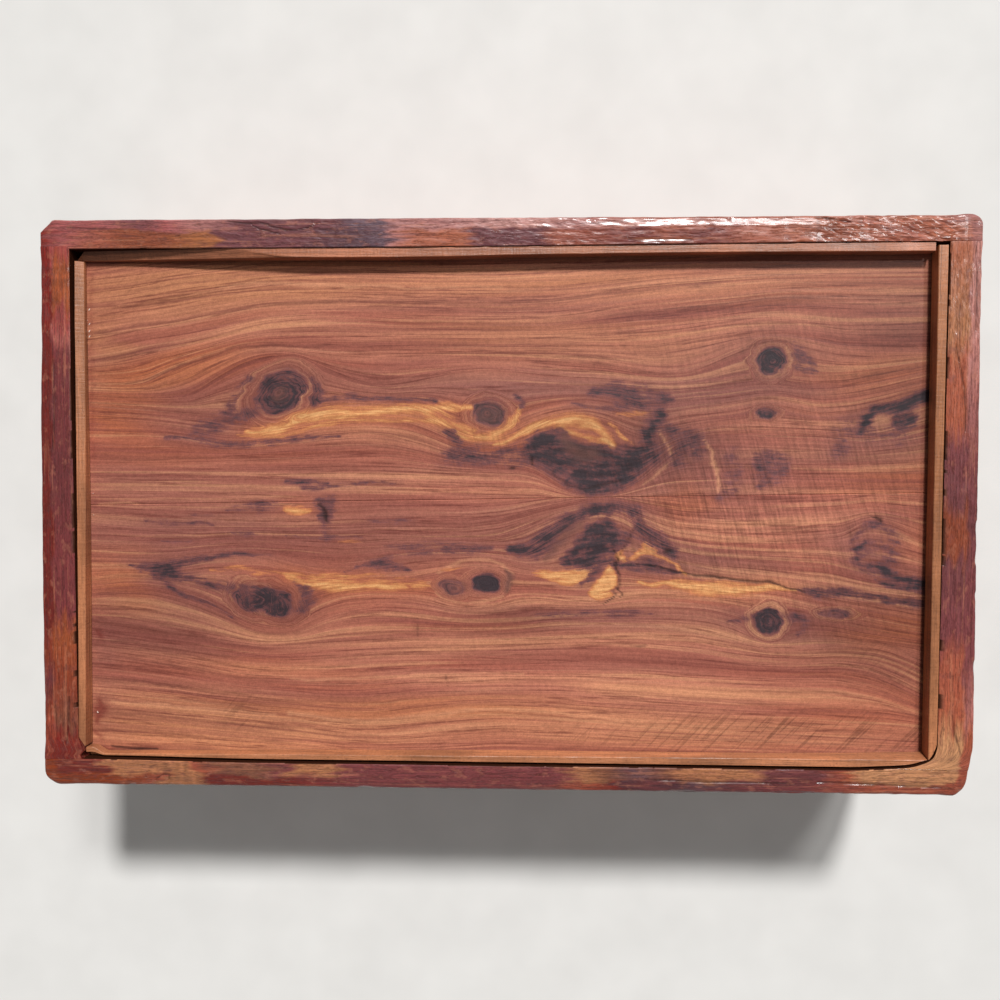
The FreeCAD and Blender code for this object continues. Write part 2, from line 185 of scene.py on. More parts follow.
def new_piece(name, points, faces, body, node, marks=None, materials=(), face_kinds=None):
    """A mesh piece in place of a CAD node, with its marks as one number per point."""
    mesh = bpy.data.meshes.new(name)
    mesh.from_pydata((np.asarray(points) * MM).tolist(), [], faces)
    for material in materials:
        mesh.materials.append(material)
    if face_kinds is not None:
        mesh.polygons.foreach_set("material_index", np.asarray(face_kinds, np.int32))
    for mark, numbers in (marks or {}).items():
        layer = mesh.attributes.new(mark, "FLOAT", "POINT")
        layer.data.foreach_set("value", np.asarray(numbers, np.float32).ravel())
    shape = bmesh.new()
    shape.from_mesh(mesh)
    bmesh.ops.recalc_face_normals(shape, faces=shape.faces)
    shape.to_mesh(mesh)
    shape.free()
    piece = bpy.data.objects.new(name, mesh)
    bpy.context.scene.collection.objects.link(piece)
    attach(piece, body)
    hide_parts(node)
    return piece


def swept_faces(stations, ring):
    """Faces of a closed tube of rings, one ring of points per station, and its two ends."""
    s, r = np.meshgrid(np.arange(stations - 1), np.arange(ring), indexing="ij")
    after = (r + 1) % ring
    sides = np.stack([s * ring + r, s * ring + after, (s + 1) * ring + after, (s + 1) * ring + r],
                     axis=-1).reshape(-1, 4).tolist()
    first = list(range(ring))[::-1]
    last = list(range((stations - 1) * ring, stations * ring))
    return sides + [first, last]


# The camera stands where the photograph was taken from: close above the lid.
CAMERA_PLACE = (7.7, 10.8, 404.1)
CAMERA_RIGHT = (0.99963, 0.00242, -0.02718)
CAMERA_UP = (-0.00313, 0.99966, -0.02595)
CAMERA_LENS = 27.97

camera_data = bpy.data.cameras.new("camera")
camera_data.lens = CAMERA_LENS
camera_data.clip_start = 0.01
camera = bpy.data.objects.new("camera", camera_data)
right = Vector(CAMERA_RIGHT).normalized()
up = (Vector(CAMERA_UP) - right * right.dot(Vector(CAMERA_UP))).normalized()
turned = Matrix((right, up, right.cross(up))).transposed().to_4x4()
camera.matrix_world = Matrix.Translation(Vector(CAMERA_PLACE) * MM) @ turned
bpy.context.scene.collection.objects.link(camera)
bpy.context.scene.camera = camera


# Materials

class Finish:
    """One node material: each call adds a node and gives its output."""

    def __init__(self, name):
        self.material = bpy.data.materials.new(name)
        self.material.use_nodes = True
        self.tree = self.material.node_tree
        self.tree.nodes.clear()
        output = self.tree.nodes.new("ShaderNodeOutputMaterial")
        self.shader = self.tree.nodes.new("ShaderNodeBsdfPrincipled")
        self.tree.links.new(self.shader.outputs[0], output.inputs[0])
        place = self.node("ShaderNodeTexCoord").outputs["Object"]
        scaled = self.node("ShaderNodeVectorMath", {0: place, "Scale": 1 / MM}, operation="SCALE")
        self.place = scaled.outputs[0]
        parts = self.node("ShaderNodeSeparateXYZ", {0: self.place})
        self.x, self.y, self.z = parts.outputs

    def put(self, socket, value):
        if isinstance(value, bpy.types.NodeSocket):
            self.tree.links.new(value, socket)
        else:
            socket.default_value = value

    def node(self, kind, inputs=None, **settings):
        made = self.tree.nodes.new(kind)
        for key, value in settings.items():
            setattr(made, key, value)
        for key, value in (inputs or {}).items():
            self.put(made.inputs[key], value)
        return made

    def math(self, operation, first, second):
        return self.node("ShaderNodeMath", {0: first, 1: second}, operation=operation).outputs[0]

    def times(self, first, second):
        return self.math("MULTIPLY", first, second)

    def plus(self, first, second):
        return self.math("ADD", first, second)

    def without(self, share):
        """What is left of 1 once a share is taken off."""
        return self.math("SUBTRACT", 1.0, share)

    def mark(self, name):
        return self.node("ShaderNodeAttribute", attribute_name=name).outputs["Fac"]

    def noise(self, first, first_size, second, second_size, third=0.0, detail=2.0, rough=0.5):
        """Noise from 0 to 1, with features of the given sizes along the first two numbers."""
        vector = self.node("ShaderNodeCombineXYZ", {0: self.times(first, 1 / first_size),
                                                    1: self.times(second, 1 / second_size), 2: third})
        made = self.node("ShaderNodeTexNoise", {"Vector": vector.outputs[0], "Scale": 1.0,
                                                "Detail": detail, "Roughness": rough})
        return made.outputs["Fac"]

    def step(self, value, low, high, start=0.0, end=1.0):
        """A smooth step from start at low to end at high."""
        made = self.node("ShaderNodeMapRange", {"Value": value, 1: low, 2: high, 3: start, 4: end},
                         interpolation_type="SMOOTHSTEP")
        return made.outputs[0]

    def ramp(self, value, *stops):
        """A colour read off a scale of (place, colour) stops."""
        made = self.node("ShaderNodeValToRGB", {0: value})
        scale = made.color_ramp.elements
        while len(scale) < len(stops):
            scale.new(0.5)
        for element, (at, colour) in zip(scale, stops):
            element.position = at
            element.color = colour
        return made.outputs[0]

    def mix(self, share, first, second, blend="MIX"):
        made = self.node("ShaderNodeMix", data_type="RGBA", blend_type=blend)
        self.put(made.inputs[0], share)
        self.put(made.inputs[6], first)
        self.put(made.inputs[7], second)
        return made.outputs[2]

    def tints(self, base, *tints):
        """The base under more colours: each comes in as its value goes from low to high."""
        for value, low, high, most, colour in tints:
            base = self.mix(self.step(value, low, high, 0.0, most), base, rgb(*colour))
        return base

    def paint(self, base, *marks):
        """The base under the colours of the mesh's marks."""
        for mark, colour in marks:
            base = self.mix(self.mark(mark), base, colour)
        return base

    def swing(self, value, size):
        """How far a noise is above or below its middle, times a size."""
        return self.times(self.plus(value, -0.5), size)

    def threads(self, value):
        """1 along the thin lines where a noise passes its middle."""
        return self.times(self.step(value, 0.47, 0.495), self.step(value, 0.53, 0.505))

    def shade(self, colour, share):
        """A colour made darker or lighter by a share that varies from place to place."""
        grey = self.node("ShaderNodeCombineColor", {0: share, 1: share, 2: share}).outputs[0]
        return self.mix(1.0, colour, grey, "MULTIPLY")

    def bump(self, height, distance, strength=1.0):
        return self.node("ShaderNodeBump", {"Height": height, "Distance": distance * MM,
                                            "Strength": strength}).outputs[0]

    def finish(self, colour, roughness, normal=None, **others):
        """The material. A number or an output goes to each of the shader's inputs."""
        self.put(self.shader.inputs["Base Color"], colour)
        self.put(self.shader.inputs["Roughness"], roughness)
        if normal is not None:
            self.put(self.shader.inputs["Normal"], normal)
        for name, value in others.items():
            self.put(self.shader.inputs[name.replace("_", " ")], value)
        return self.material


TAN = rgb(202, 138, 94)
ORANGE = rgb(188, 106, 66)
MAUVE = rgb(132, 82, 76)
DARK_GRAIN = rgb(116, 64, 54)
HAIR_LINE = rgb(108, 52, 44)
PALE_GRAIN = rgb(222, 158, 118)
KNOT_RED = rgb(112, 74, 66)
CRACK = rgb(44, 28, 26)
GLUE_STAIN = rgb(118, 52, 44)


def lid_finish():
    """Figured cedar under a thin satin coat. The marks on the mesh say where the figure runs."""
    f = Finish("figured_cedar")
    grain = f.mark("grain")
    broad = f.noise(f.x, 130, grain, 8, 3.1, 3)
    bands = f.noise(f.x, 150, grain, 2.6, 7.7, 4, 0.62)
    lines = f.noise(f.x, 110, grain, 1.3, 1.3, 3, 0.6)
    fine = f.noise(f.x, 22, grain, 0.5, 5.5, 3, 0.6)
    streaks = f.noise(f.x, 9, grain, 0.8, 6.1, 3, 0.6)
    clouds = f.noise(f.x, 8, f.y, 5, 4.9, 2)
    grit = f.noise(f.x, 0.55, f.y, 0.5, 2.2, 2, 0.6)
    mottle = f.noise(f.x, 1.9, f.y, 1.3, 8.2, 3, 0.6)
    base = f.ramp(broad, (0.3, rgb(152, 82, 66)), (0.45, rgb(168, 98, 80)),
                  (0.58, rgb(184, 115, 92)), (0.72, rgb(202, 136, 102)))
    base = f.paint(base, ("tan", TAN), ("orange", ORANGE), ("mauve", MAUVE))
    base = f.tints(base, (bands, 0.5, 0.64, 0.46, (138, 76, 66)),
                   (bands, 0.46, 0.34, 0.42, (214, 152, 112)),
                   (lines, 0.54, 0.66, 0.45, (126, 66, 60)),
                   (lines, 0.4, 0.28, 0.22, (216, 158, 124)))
    hair = f.threads(f.noise(f.x, 190, grain, 4.2, 9.3, 3, 0.55))
    base = f.mix(f.times(f.times(hair, f.step(streaks, 0.3, 0.6)), 0.6), base, HAIR_LINE)
    base = f.paint(base, ("line", DARK_GRAIN))
    base = f.mix(f.times(f.mark("pale"), 0.75), base, PALE_GRAIN)
    gold = f.mark("gold")
    edge = f.swing(streaks, f.step(gold, 0.02, 0.35))
    streaked = f.plus(gold, f.times(edge, 1.9))
    smoke = f.mark("smoke")
    uneven = f.plus(f.swing(streaks, 1.5), f.swing(mottle, 1.0))
    uneven = f.plus(uneven, f.swing(clouds, 1.2))
    clouded = f.plus(smoke, f.times(uneven, f.step(smoke, 0.02, 0.3)))
    base = f.tints(base, (streaked, 0.15, 0.6, 1.0, (190, 116, 78)),
                   (streaked, 0.45, 0.95, 1.0, (210, 142, 90)),
                   (streaked, 0.8, 1.25, 1.0, (232, 172, 114)),
                   (clouded, 0.0, 0.55, 1.0, (122, 74, 72)),
                   (clouded, 0.35, 0.9, 1.0, (96, 64, 66)),
                   (clouded, 0.62, 1.08, 1.0, (62, 50, 54)))
    base = f.paint(base, ("brown", KNOT_RED), ("crack", CRACK))
    slanted = f.plus(f.times(f.x, 0.97), f.times(f.y, 0.24))
    along = f.plus(f.times(f.y, 0.97), f.times(f.x, -0.24))
    wiped = f.noise(slanted, 1.1, along, 12, 3.3, 3, 0.6)
    brushed = f.swing(wiped, f.mark("brush"))
    worn = f.plus(f.step(fine, 0.25, 0.75, 0.85, 1.15), f.times(brushed, 1.5))
    worn = f.times(worn, f.step(grit, 0.2, 0.8, 0.86, 1.14))
    worn = f.times(worn, f.step(mottle, 0.25, 0.75, 0.9, 1.1))
    saw = f.mark("saw")
    crossing = f.plus(f.times(f.x, 0.72), f.times(f.y, -0.69))
    teeth = f.noise(crossing, 1.3, f.plus(f.x, f.y), 40, 4.4, 2)
    cuts = f.times(f.step(teeth, 0.52, 0.64), saw)
    worn = f.times(worn, f.without(f.times(cuts, 0.34)))
    glue_and_glint = f.mark("glue_and_glint")
    base = f.paint(base, ("stain_and_gap_shade", GLUE_STAIN))
    # Painted highlight: the glue beads are tinted near white for their glint, on top of their real bump
    # and gloss
    base = f.tints(base, (glue_and_glint, 0.45, 0.8, 1.0, (244, 222, 208)))
    toned = f.without(f.times(f.mark("deep"), 0.34))
    worn = f.times(worn, f.plus(toned, f.times(f.mark("light"), 0.16)))
    colour = f.shade(base, worn)
    height = f.plus(f.times(fine, 0.6), f.times(grit, 0.4))
    height = f.plus(height, f.times(cuts, -1.2))
    height = f.plus(height, f.times(glue_and_glint, 4.0))
    rough = f.plus(f.step(fine, 0.3, 0.7, 0.4, 0.55), f.times(glue_and_glint, -0.3))
    return f.finish(colour, rough, f.bump(height, 0.1, 0.6),
                    Coat_Weight=0.06, Coat_Roughness=0.3, Specular_IOR_Level=0.22)


def end_grain_finish(name, tint):
    """Cut ends of boards: short arcs of growth rings, darker than the long grain."""
    f = Finish(name)
    bent = f.plus(f.z, f.times(f.times(f.y, f.y), 0.004))
    rings = f.noise(bent, 1.6, f.y, 90, f.times(f.x, 1 / 90), 3)
    pores = f.noise(f.y, 0.35, f.z, 0.35, f.times(f.x, 1 / 0.35), 2)
    colour = f.ramp(rings, (0.3, times_rgb(0.6, tint)), (0.5, times_rgb(0.85, tint)), (0.62, rgb(*tint)))
    colour = f.tints(colour, (pores, 0.55, 0.7, 0.4, (80, 44, 34)))
    return f.finish(colour, f.step(pores, 0.3, 0.7, 0.45, 0.7), f.bump(f.plus(rings, pores), 0.1))


# The lid's figure, read off the photograph in millimetres. Each board has lines that its grain
# follows, from end to end, in order across the board. They part round the knots.

BACK_GRAIN = (
    ((-177, -4), (190, -4)),
    ((-177, 10), (-140, 10.3), (-110, 10), (-85, 9.3), (-60, 9.2), (-20, 8.2), (0, 7.6), (15, 7),
        (28, 4), (40, 2.8), (52, 4.6), (65, 7.5), (90, 8.5), (190, 8)),
    ((-177, 14.5), (-140, 14.3), (-85, 14.8), (-60, 14.8), (-20, 13.2), (8, 12.4), (16, 10.5),
        (24, 6.5), (32, 4.4), (40, 3.4), (50, 5.4), (60, 9), (70, 12), (90, 13), (190, 13)),
    ((-177, 19.3), (-150, 19), (-120, 19.8), (-100, 20.3), (-80, 21), (-60, 22), (-45, 21.5),
        (-32, 19.5), (-22, 17.5), (-10, 16.3), (0, 15.6), (8, 15.8), (15, 13.5), (22, 8.5), (30, 5.2),
        (40, 4.1), (50, 6.2), (58, 10), (66, 16), (75, 20), (140, 20), (165, 22), (190, 25)),
    ((-177, 29), (-150, 28.8), (-138, 28.3), (-128, 26.8), (-116, 24.6), (-104, 25), (-90, 26.8),
        (-75, 28.8), (-57, 30), (-46, 29), (-34, 26), (-24, 22.5), (-12, 19.6), (0, 18), (8, 17.5),
        (15, 15.2), (22, 10), (30, 6), (40, 4.8), (50, 7), (58, 12), (64, 18), (72, 25), (85, 28),
        (105, 28), (130, 27), (150, 25), (165, 27), (190, 32)),
    ((-177, 36), (-150, 34.5), (-138, 33), (-128, 31.5), (-118, 30), (-108, 29.6), (-98, 30.6),
        (-88, 32.8), (-78, 35), (-65, 36.3), (-50, 36.6), (-38, 35.8), (-28, 32), (-20, 27.6),
        (-10, 25.4), (0, 26), (8, 29.5), (16, 33.8), (25, 37), (34, 37.4), (44, 34.5), (54, 29),
        (64, 28), (75, 31), (90, 33.5), (105, 34.2), (130, 33), (148, 32), (160, 34), (174, 39),
        (190, 44)),
    ((-177, 42), (-150, 40.5), (-135, 39.5), (-122, 38.5), (-110, 36.5), (-101, 34.2), (-92, 34.8),
        (-84, 38.2), (-76, 41.4), (-65, 42.3), (-50, 41.8), (-38, 41.2), (-29, 38.5), (-21, 33),
        (-13, 29.4), (-5, 28.7), (3, 31), (9, 35), (17, 38), (26, 40), (36, 40.6), (46, 38.4),
        (56, 35), (66, 35), (80, 37.5), (95, 39), (106, 41.5), (115, 41.3), (130, 38), (145, 39.5),
        (156, 42), (174, 47.5), (190, 52)),
    ((-177, 46.5), (-155, 45.5), (-140, 45), (-130, 46.2), (-120, 52.6), (-110, 58.6), (-102, 61.6),
        (-94, 62.6), (-86, 61.8), (-78, 58.6), (-70, 54.8), (-60, 51.2), (-50, 49.8), (-40, 50.6),
        (-30, 52.6), (-20, 54.6), (-8, 55.6), (4, 54.6), (16, 53), (30, 52), (45, 51.5), (58, 50.5),
        (70, 50), (85, 51), (100, 53), (112, 53.6), (125, 52), (140, 52.5), (155, 55), (174, 58.5),
        (190, 60)),
    ((-177, 48.5), (-158, 47.8), (-145, 48.5), (-135, 51.5), (-125, 56.5), (-115, 61), (-106, 64.2),
        (-97, 65), (-88, 64.4), (-79, 62.8), (-70, 61.5), (-55, 61), (-20, 61.3), (0, 61), (17, 60.5),
        (37, 59.3), (47, 58), (57, 55.8), (67, 54.6), (77, 55.4), (86, 58.8), (94, 62.8), (102, 66),
        (110, 68.3), (118, 68), (126, 65.6), (136, 63), (150, 61.5), (165, 62), (190, 63)),
    ((-177, 50.5), (-160, 50), (-150, 51), (-140, 56.5), (-130, 60.3), (-120, 63.2), (-110, 66.2),
        (-100, 67), (-88, 66.7), (-60, 66.2), (-40, 66.8), (20, 66.6), (35, 66), (50, 65.6), (62, 66),
        (72, 67), (82, 68.5), (92, 70.2), (103, 71.2), (115, 71.3), (128, 70), (140, 68), (190, 67.5)),
    ((-177, 60), (-160, 62.5), (-150, 65), (-140, 66.5), (-130, 68.2), (-120, 70.6), (-110, 73.3),
        (-100, 75.5), (-90, 76.5), (-78, 77.2), (-60, 77), (-40, 76), (0, 75.6), (20, 75.8),
        (30, 76.8), (45, 78.5), (57, 80), (70, 81), (82, 82.3), (95, 83.4), (105, 84.8), (115, 85.8),
        (150, 85.3), (190, 86)),
    ((-177, 71.5), (-166, 73), (-156, 75), (-146, 76), (-136, 77.5), (-128, 79.2), (-116, 81.2),
        (-100, 83.6), (-90, 84.3), (-65, 85), (-40, 84.8), (0, 84), (20, 84.8), (33, 86.2), (45, 87.5),
        (57, 89), (70, 90.4), (92, 92), (110, 93), (190, 93.5)),
    ((-177, 80.5), (-158, 82.3), (-146, 84), (-130, 86.5), (-116, 88.5), (-100, 90), (-60, 91),
        (-30, 90.2), (0, 90.2), (25, 90.6), (45, 92.5), (65, 94.6), (90, 96), (120, 97), (190, 97.5)),
    ((-177, 86.5), (-157, 88.8), (-140, 91.8), (-128, 93.3), (-112, 94.9), (-100, 96.2), (-83, 97),
        (-20, 96), (0, 96), (30, 97), (60, 98.5), (100, 100.5), (190, 101.5)),
    ((-177, 98), (-100, 107), (190, 112)),
)
FRONT_GRAIN = (
    ((-177, -112), (190, -115)),
    ((-177, -95), (-150, -96.8), (-130, -98), (-110, -99.6), (-90, -101), (-60, -103), (-30, -102.5),
        (0, -101), (60, -102), (190, -104)),
    ((-177, -87.5), (-150, -89.5), (-136, -91), (-116, -92.6), (-100, -94), (-84, -95.5), (-68, -97.4),
        (-50, -98), (-30, -96.5), (0, -94), (40, -95), (90, -97), (190, -100)),
    ((-177, -82), (-150, -84.2), (-120, -86.5), (-106, -87.8), (-90, -88.5), (-78, -89.6),
        (-65, -90.8), (-50, -90.8), (-38, -89.4), (-28, -88), (-15, -86.4), (0, -86), (20, -87),
        (45, -89), (70, -90.4), (93, -91.5), (130, -92.5), (190, -95)),
    ((-177, -74), (-156, -75.4), (-136, -77.2), (-126, -79), (-106, -80.8), (-86, -82.4), (-75, -83.4),
        (-60, -83.8), (-48, -82.5), (-38, -81), (-25, -80.2), (0, -79), (25, -79), (50, -80.5),
        (75, -82), (100, -83.5), (130, -84), (160, -85.5), (190, -90)),
    ((-177, -63.5), (-156, -65.7), (-136, -68.6), (-116, -72.3), (-106, -73.6), (-75, -73.8),
        (-55, -73), (-40, -71.8), (-30, -71), (0, -70.5), (30, -70), (60, -70.5), (90, -72),
        (120, -73), (140, -73), (155, -76), (170, -82), (190, -89)),
    ((-177, -57), (-156, -58.7), (-136, -61.2), (-116, -64), (-106, -65), (-90, -65.5), (-70, -64.5),
        (-50, -63.2), (0, -62.5), (40, -62), (60, -62.5), (80, -64), (100, -66), (120, -66.5),
        (140, -65.5), (152, -67), (162, -71), (172, -76), (190, -83)),
    ((-177, -49.5), (-160, -51), (-148, -53.3), (-136, -54.5), (-112, -58), (-100, -59.3),
        (-85, -58.5), (-70, -57), (-40, -55), (0, -54), (20, -52.5), (40, -51.5), (60, -51.5),
        (80, -53), (95, -56), (110, -59), (125, -59.5), (140, -58.5), (155, -59), (165, -62),
        (175, -67), (190, -74)),
    ((-177, -39), (-160, -38), (-148, -38.5), (-138, -41), (-128, -44), (-118, -48), (-108, -52.5),
        (-100, -54.2), (-90, -54.2), (-82, -52), (-75, -48.5), (-65, -45.8), (-55, -44.7),
        (-45, -44.9), (-35, -46), (-25, -47.3), (-12, -48), (5, -47.3), (18, -45.6), (30, -44.8),
        (70, -44.5), (85, -45.5), (96, -48.5), (103, -52.8), (110, -54.5), (118, -53.8), (126, -51.5),
        (138, -52), (150, -54.5), (170, -57), (190, -60)),
    ((-177, -34), (-160, -32), (-148, -32), (-138, -33.5), (-128, -36.5), (-118, -41), (-110, -46.5),
        (-102, -50), (-94, -50.8), (-86, -48.5), (-78, -43), (-68, -39), (-55, -37.5), (-40, -37.5),
        (-30, -38.5), (-22, -41.5), (-12, -42.5), (-2, -41.5), (6, -39), (15, -38.5), (28, -40),
        (40, -40.5), (50, -38), (62, -36.5), (76, -37), (90, -38), (102, -39), (112, -39.2),
        (122, -41), (135, -44), (150, -47.5), (170, -51.5), (190, -54)),
    ((-177, -30), (-160, -28.6), (-148, -29.5), (-135, -29.5), (-124, -28), (-112, -27.6),
        (-100, -28.3), (-90, -29.8), (-80, -31), (-38, -30.8), (-28, -28.5), (-18, -26.2), (-8, -25.5),
        (0, -26.8), (8, -29.2), (32, -29.5), (44, -27.5), (56, -29), (70, -31), (90, -32), (108, -33),
        (122, -35.2), (135, -38), (150, -40.5), (170, -44), (190, -46)),
    ((-177, -26), (-160, -26), (-148, -26.5), (-138, -24.8), (-126, -22.5), (-112, -21.8),
        (-100, -22.5), (-88, -25.5), (-76, -28), (-62, -27), (-50, -24.5), (-40, -22.5), (-20, -22.5),
        (-10, -21.5), (0, -22.5), (10, -25.5), (20, -26.5), (32, -26), (42, -23.5), (50, -21.5),
        (62, -22), (74, -26), (90, -29), (105, -30.5), (120, -33), (135, -35), (165, -39), (190, -42)),
    ((-177, -20), (-155, -21), (-140, -21), (-125, -19.2), (-105, -18), (-85, -19), (-65, -20.5),
        (-50, -19), (-35, -17.5), (-20, -17.3), (2, -19), (10, -19.5), (20, -12), (30, -5), (40, -3),
        (50, -5), (58, -11), (68, -17), (85, -20), (110, -21), (135, -22), (145, -25), (155, -27.5),
        (165, -28), (190, -31)),
    ((-177, -13.5), (-150, -14.5), (-130, -14.8), (-110, -13.5), (-70, -13.8), (-50, -13), (-10, -13),
        (0, -11.5), (12, -6.5), (24, -2.5), (36, -0.5), (48, -1), (58, -5), (70, -10), (90, -12.5),
        (115, -13), (140, -11.5), (150, -5.5), (160, -7), (175, -14), (190, -18)),
    ((-177, -5), (-150, -7.2), (-130, -7.8), (-90, -8.2), (-70, -8), (-50, -7.4), (-15, -8), (0, -6.2),
        (12, -3), (24, 0), (35, 2.5), (48, 2.5), (60, -1), (75, -4), (100, -5), (140, -3), (152, -1),
        (165, -3), (190, -6)),
    ((-177, 3), (0, 5), (30, 7), (60, 9), (190, 9)),
)

# Knots: place, half sizes, turn in degrees, darkness of the heart, and how brown the heart is
KNOTS = {
    "left_back": ((-93, 47.3), (11.6, 8.8), 32, 0.84, 0),
    "middle_back": ((-5.8, 38.8), (7.4, 5.6), -8, 0.8, 0.35),
    "small_back": ((110.3, 60.2), (6.3, 6), 0, 0.95, 0),
    "tiny_back": ((108.5, 38.4), (4.8, 2.3), 4, 0.75, 0),
    "left_front": ((-96.3, -40.8), (9.4, 5.8), -24, 0.88, 0),
    "left_front_lobe": ((-106, -39.5), (7.5, 6), -20, 0.7, 0),
    "middle_front": ((-7.2, -32.4), (6.6, 4.3), -6, 1, 0),
    "middle_front_lobe": ((-21, -34.3), (5.6, 3.4), -8, 0.55, 0.4),
    "small_front": ((110, -47.4), (5.9, 5.4), -10, 0.98, 0),
    "tail_front": ((138, -44.3), (6.8, 2.1), -4, 0.6, 0),
}

# Gold sapwood: strokes of (x, y, half width), then how bright
GOLD_STROKES = {
    "left_back_main": (1, ((-108, 30.6, 0.7), (-98, 31.2, 1.5), (-92, 32.6, 1.6), (-86, 35.8, 2),
        (-80, 37.9, 2.3), (-70, 38.3, 2.1), (-60, 38.3, 1.8), (-50, 39.4, 1.5), (-40, 40.1, 1.4),
        (-30, 40.6, 1.4), (-20, 41, 1.5), (-13, 41.2, 1))),
    "left_back_glow": (0.32, ((-104, 31.5, 2), (-86, 34.5, 4.2), (-70, 37.6, 4.8), (-50, 38.3, 4.2),
        (-32, 39, 4), (-22, 38, 4))),
    "left_back_low": (0.6, ((-112, 29.1, 0.5), (-100, 28.3, 0.8), (-90, 29.2, 0.9), (-82, 31.6, 0.8),
        (-74, 33.9, 0.8), (-64, 35.2, 0.8), (-54, 35.4, 0.7), (-46, 34.8, 1), (-38, 35, 0.8),
        (-30, 35.3, 0.9), (-24, 34.4, 1))),
    "middle_back_left": (0.8, ((-33, 38.8, 0.8), (-29, 36, 1.4), (-24, 34, 1.6), (-18, 32.4, 1.6),
        (-12, 31.2, 1.1))),
    "middle_back_under": (0.95, ((-20, 30.2, 0.8), (-14, 28.8, 1.3), (-8, 28.4, 1.7), (-2, 30, 2),
        (2, 33, 1.8), (5, 36.5, 1.3), (7.5, 40, 0.8))),
    "arch_back": (1, ((-3, 25.6, 0.7), (4, 28, 1.3), (10, 31.5, 1.5), (16, 33.6, 1.9), (22, 35, 2.2),
        (28, 35.6, 2.4), (34, 35, 2.4), (39, 32.4, 2.4), (43, 28.4, 2), (45.4, 24, 1.5))),
    "arch_back_inner": (0.7, ((24, 32, 1), (29, 30.4, 1.2), (35, 29, 1.1), (40, 26, 0.8))),
    "spark_back": (0.85, ((44.5, 34.2, 0.5), (48, 30.5, 0.8), (51, 27.4, 0.6))),
    "spark_back_small": (0.6, ((52.5, 26.6, 0.4), (55, 25, 0.6), (57, 23.4, 0.4))),
    "spark_back_high": (0.6, ((47, 38.4, 0.5), (54, 38.4, 0.9), (60, 39.2, 0.5))),
    "seam_spot": (0.85, ((-91, -1.6, 1.2), (-86, -1.8, 1.7), (-81.6, -1.9, 1))),
    "seam_spot_small": (0.4, ((-69, -15.5, 0.6), (-65, -15.3, 0.9), (-60, -15.4, 0.5))),
    "left_front_cap": (0.5, ((-124, -27.6, 0.6), (-112, -26.8, 1.1), (-104, -27.8, 1.3),
        (-96, -28.6, 1.2), (-88, -29.8, 0.9))),
    "left_front_main": (1, ((-90, -30.6, 0.7), (-84, -32.5, 1.2), (-76, -33.8, 1.7), (-66, -33.9, 1.6),
        (-56, -33.8, 1.5), (-46, -33.8, 1.3), (-41.5, -33.8, 0.8))),
    "left_front_end": (0.8, ((-38.5, -33.6, 0.7), (-34, -33.9, 1.2), (-30.6, -34.1, 0.6))),
    "left_front_high": (0.6, ((-92, -28.8, 0.5), (-80, -29.7, 0.7), (-66, -29.5, 0.6),
        (-50, -28.9, 0.4))),
    "left_front_glow": (0.35, ((-88, -31.5, 2.6), (-66, -32.4, 3.6), (-46, -32.4, 3), (-34, -33, 2))),
    "middle_front_over": (0.35, ((-26, -27, 0.8), (-22, -26.6, 1), (-17, -26.2, 0.6))),
    "split_front": (0.8, ((45.6, -17.5, 0.8), (48.6, -20.6, 1.7), (50.6, -23, 0.9))),
    "split_front_high": (0.45, ((51.5, -15.5, 0.6), (53.4, -12, 0.8), (55, -9, 0.5))),
    "ray_front": (0.8, ((62, -19.6, 0.8), (68, -22.4, 0.9), (73, -26, 0.8), (76, -28.6, 0.4))),
    "right_front": (1.05, ((57, -31, 0.6), (63, -33, 0.7), (70, -31.9, 1.3), (78, -33.3, 2.2),
        (88, -34, 2.6), (98, -34.1, 2.5), (106, -33.8, 1.8), (114, -33.6, 1.1), (122, -34.6, 0.4))),
}
GOLD_PATCHES = {
    "lens_front": (0.95, ((12, -28), (20, -27.2), (30, -26.2), (37, -24), (41, -21), (43.4, -17.6),
        (44.6, -19.8), (42, -24), (38, -28), (33.6, -31.6), (28.6, -33.6), (22, -31.6), (16, -29.6))),
    "drop_front": (1.05, ((35.6, -36.4), (38, -33.4), (41, -29.4), (44, -25.4), (46, -24.6),
        (46.8, -28), (46.4, -33), (44.4, -37.4), (40, -39), (37, -38))),
    "tip_front": (0.9, ((53, -22), (57, -17.6), (60, -14.4), (62.6, -16.6), (65, -20), (60, -20.2),
        (56, -22.4))),
}

